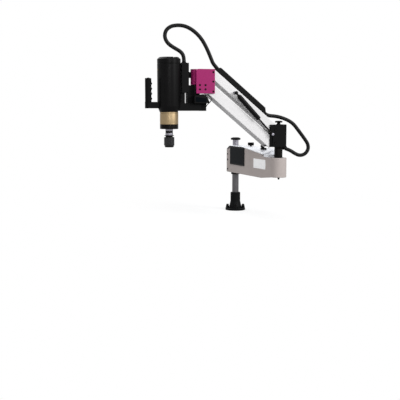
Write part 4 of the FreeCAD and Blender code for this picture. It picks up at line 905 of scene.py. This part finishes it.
def build_stage():
    bm = bmesh.new()
    bmesh.ops.create_circle(bm, cap_ends=True, segments=FLOOR_STEPS, radius=FLOOR_RADIUS)
    floor = placed("floor", to_mesh("floor", bm))
    material = bpy.data.materials.new("pale_floor")
    material.use_nodes = True
    tree = material.node_tree
    shader = tree.nodes["Principled BSDF"]
    direct = add(tree, "ShaderNodeLightPath").outputs["Is Camera Ray"]
    tint = add(tree, "ShaderNodeMix", {6: linear(FLOOR_BOUNCE), 7: linear(PALE_FLOOR)}, {0: direct},
               data_type="RGBA").outputs[2]
    tree.links.new(tint, shader.inputs["Base Color"])
    shader.inputs["Roughness"].default_value = FLOOR_ROUGHNESS
    shader.inputs["Specular IOR Level"].default_value = FLOOR_GLOSS
    coords = add(tree, "ShaderNodeTexCoord").outputs["Object"]
    far = add(tree, "ShaderNodeVectorMath", links={0: coords}, operation="LENGTH")
    fade = add(tree, "ShaderNodeMapRange",
               {"From Max": SHADOW_REACH, "To Min": 1 - SHADOW_SHARE, "To Max": 1.0},
               {"Value": far.outputs["Value"]}, interpolation_type="SMOOTHSTEP")
    seen = add(tree, "ShaderNodeMath", links={0: fade.outputs["Result"], 1: white_seen(tree)},
               operation="MULTIPLY")
    glow = add(tree, "ShaderNodeEmission", {"Color": linear(WHITE), "Strength": 1.0})
    mix = add(tree, "ShaderNodeMixShader", links={
        0: seen.outputs[0], 1: shader.outputs[0], 2: glow.outputs[0]})
    tree.links.new(mix.outputs[0], tree.nodes["Material Output"].inputs["Surface"])
    floor.data.materials.append(material)

    world = bpy.data.worlds.new("studio")
    bpy.context.scene.world = world
    world.use_nodes = True
    tree = world.node_tree
    tree.nodes["Background"].inputs["Color"].default_value = linear(ROOM_GREY)
    tree.nodes["Background"].inputs["Strength"].default_value = ROOM_STRENGTH
    seen = add(tree, "ShaderNodeBackground", {"Color": linear(WHITE), "Strength": 1.0})
    mix = add(tree, "ShaderNodeMixShader", links={
        0: white_seen(tree), 1: tree.nodes["Background"].outputs[0], 2: seen.outputs[0]})
    tree.links.new(mix.outputs[0], tree.nodes["World Output"].inputs["Surface"])

    for name, place, size, power, shown in LAMPS:
        lamp = bpy.data.lights.new(name, "AREA")
        lamp.shape = "SQUARE"
        lamp.size = size
        lamp.energy = power
        holder = placed(name, lamp)
        holder.location = place
        holder.visible_glossy = shown
        holder.rotation_mode = "QUATERNION"
        holder.rotation_quaternion = (Vector(LAMP_AIM) - Vector(place)).to_track_quat("-Z", "Y")


def set_camera():
    lens = bpy.data.cameras.new("camera")
    lens.lens = CAMERA_LENS
    lens.sensor_width = SENSOR_WIDTH
    camera = placed("camera", lens)
    turn, pitch = math.radians(CAMERA_TURN), math.radians(CAMERA_PITCH)
    ahead = Vector((math.sin(turn) * math.cos(pitch), math.cos(turn) * math.cos(pitch), -math.sin(pitch)))
    camera.location = CAMERA_PLACE
    camera.rotation_mode = "QUATERNION"
    camera.rotation_quaternion = ahead.to_track_quat("-Z", "Y")
    bpy.context.scene.camera = camera
    bpy.context.scene.view_settings.view_transform = "Standard"


set_camera()
build_stage()
lay_cables()
finish_nodes()
dress_base()
dress_arm()
dress_elbow()
dress_links()
dress_spring()
dress_grip()
dress_chuck()
dress_head()
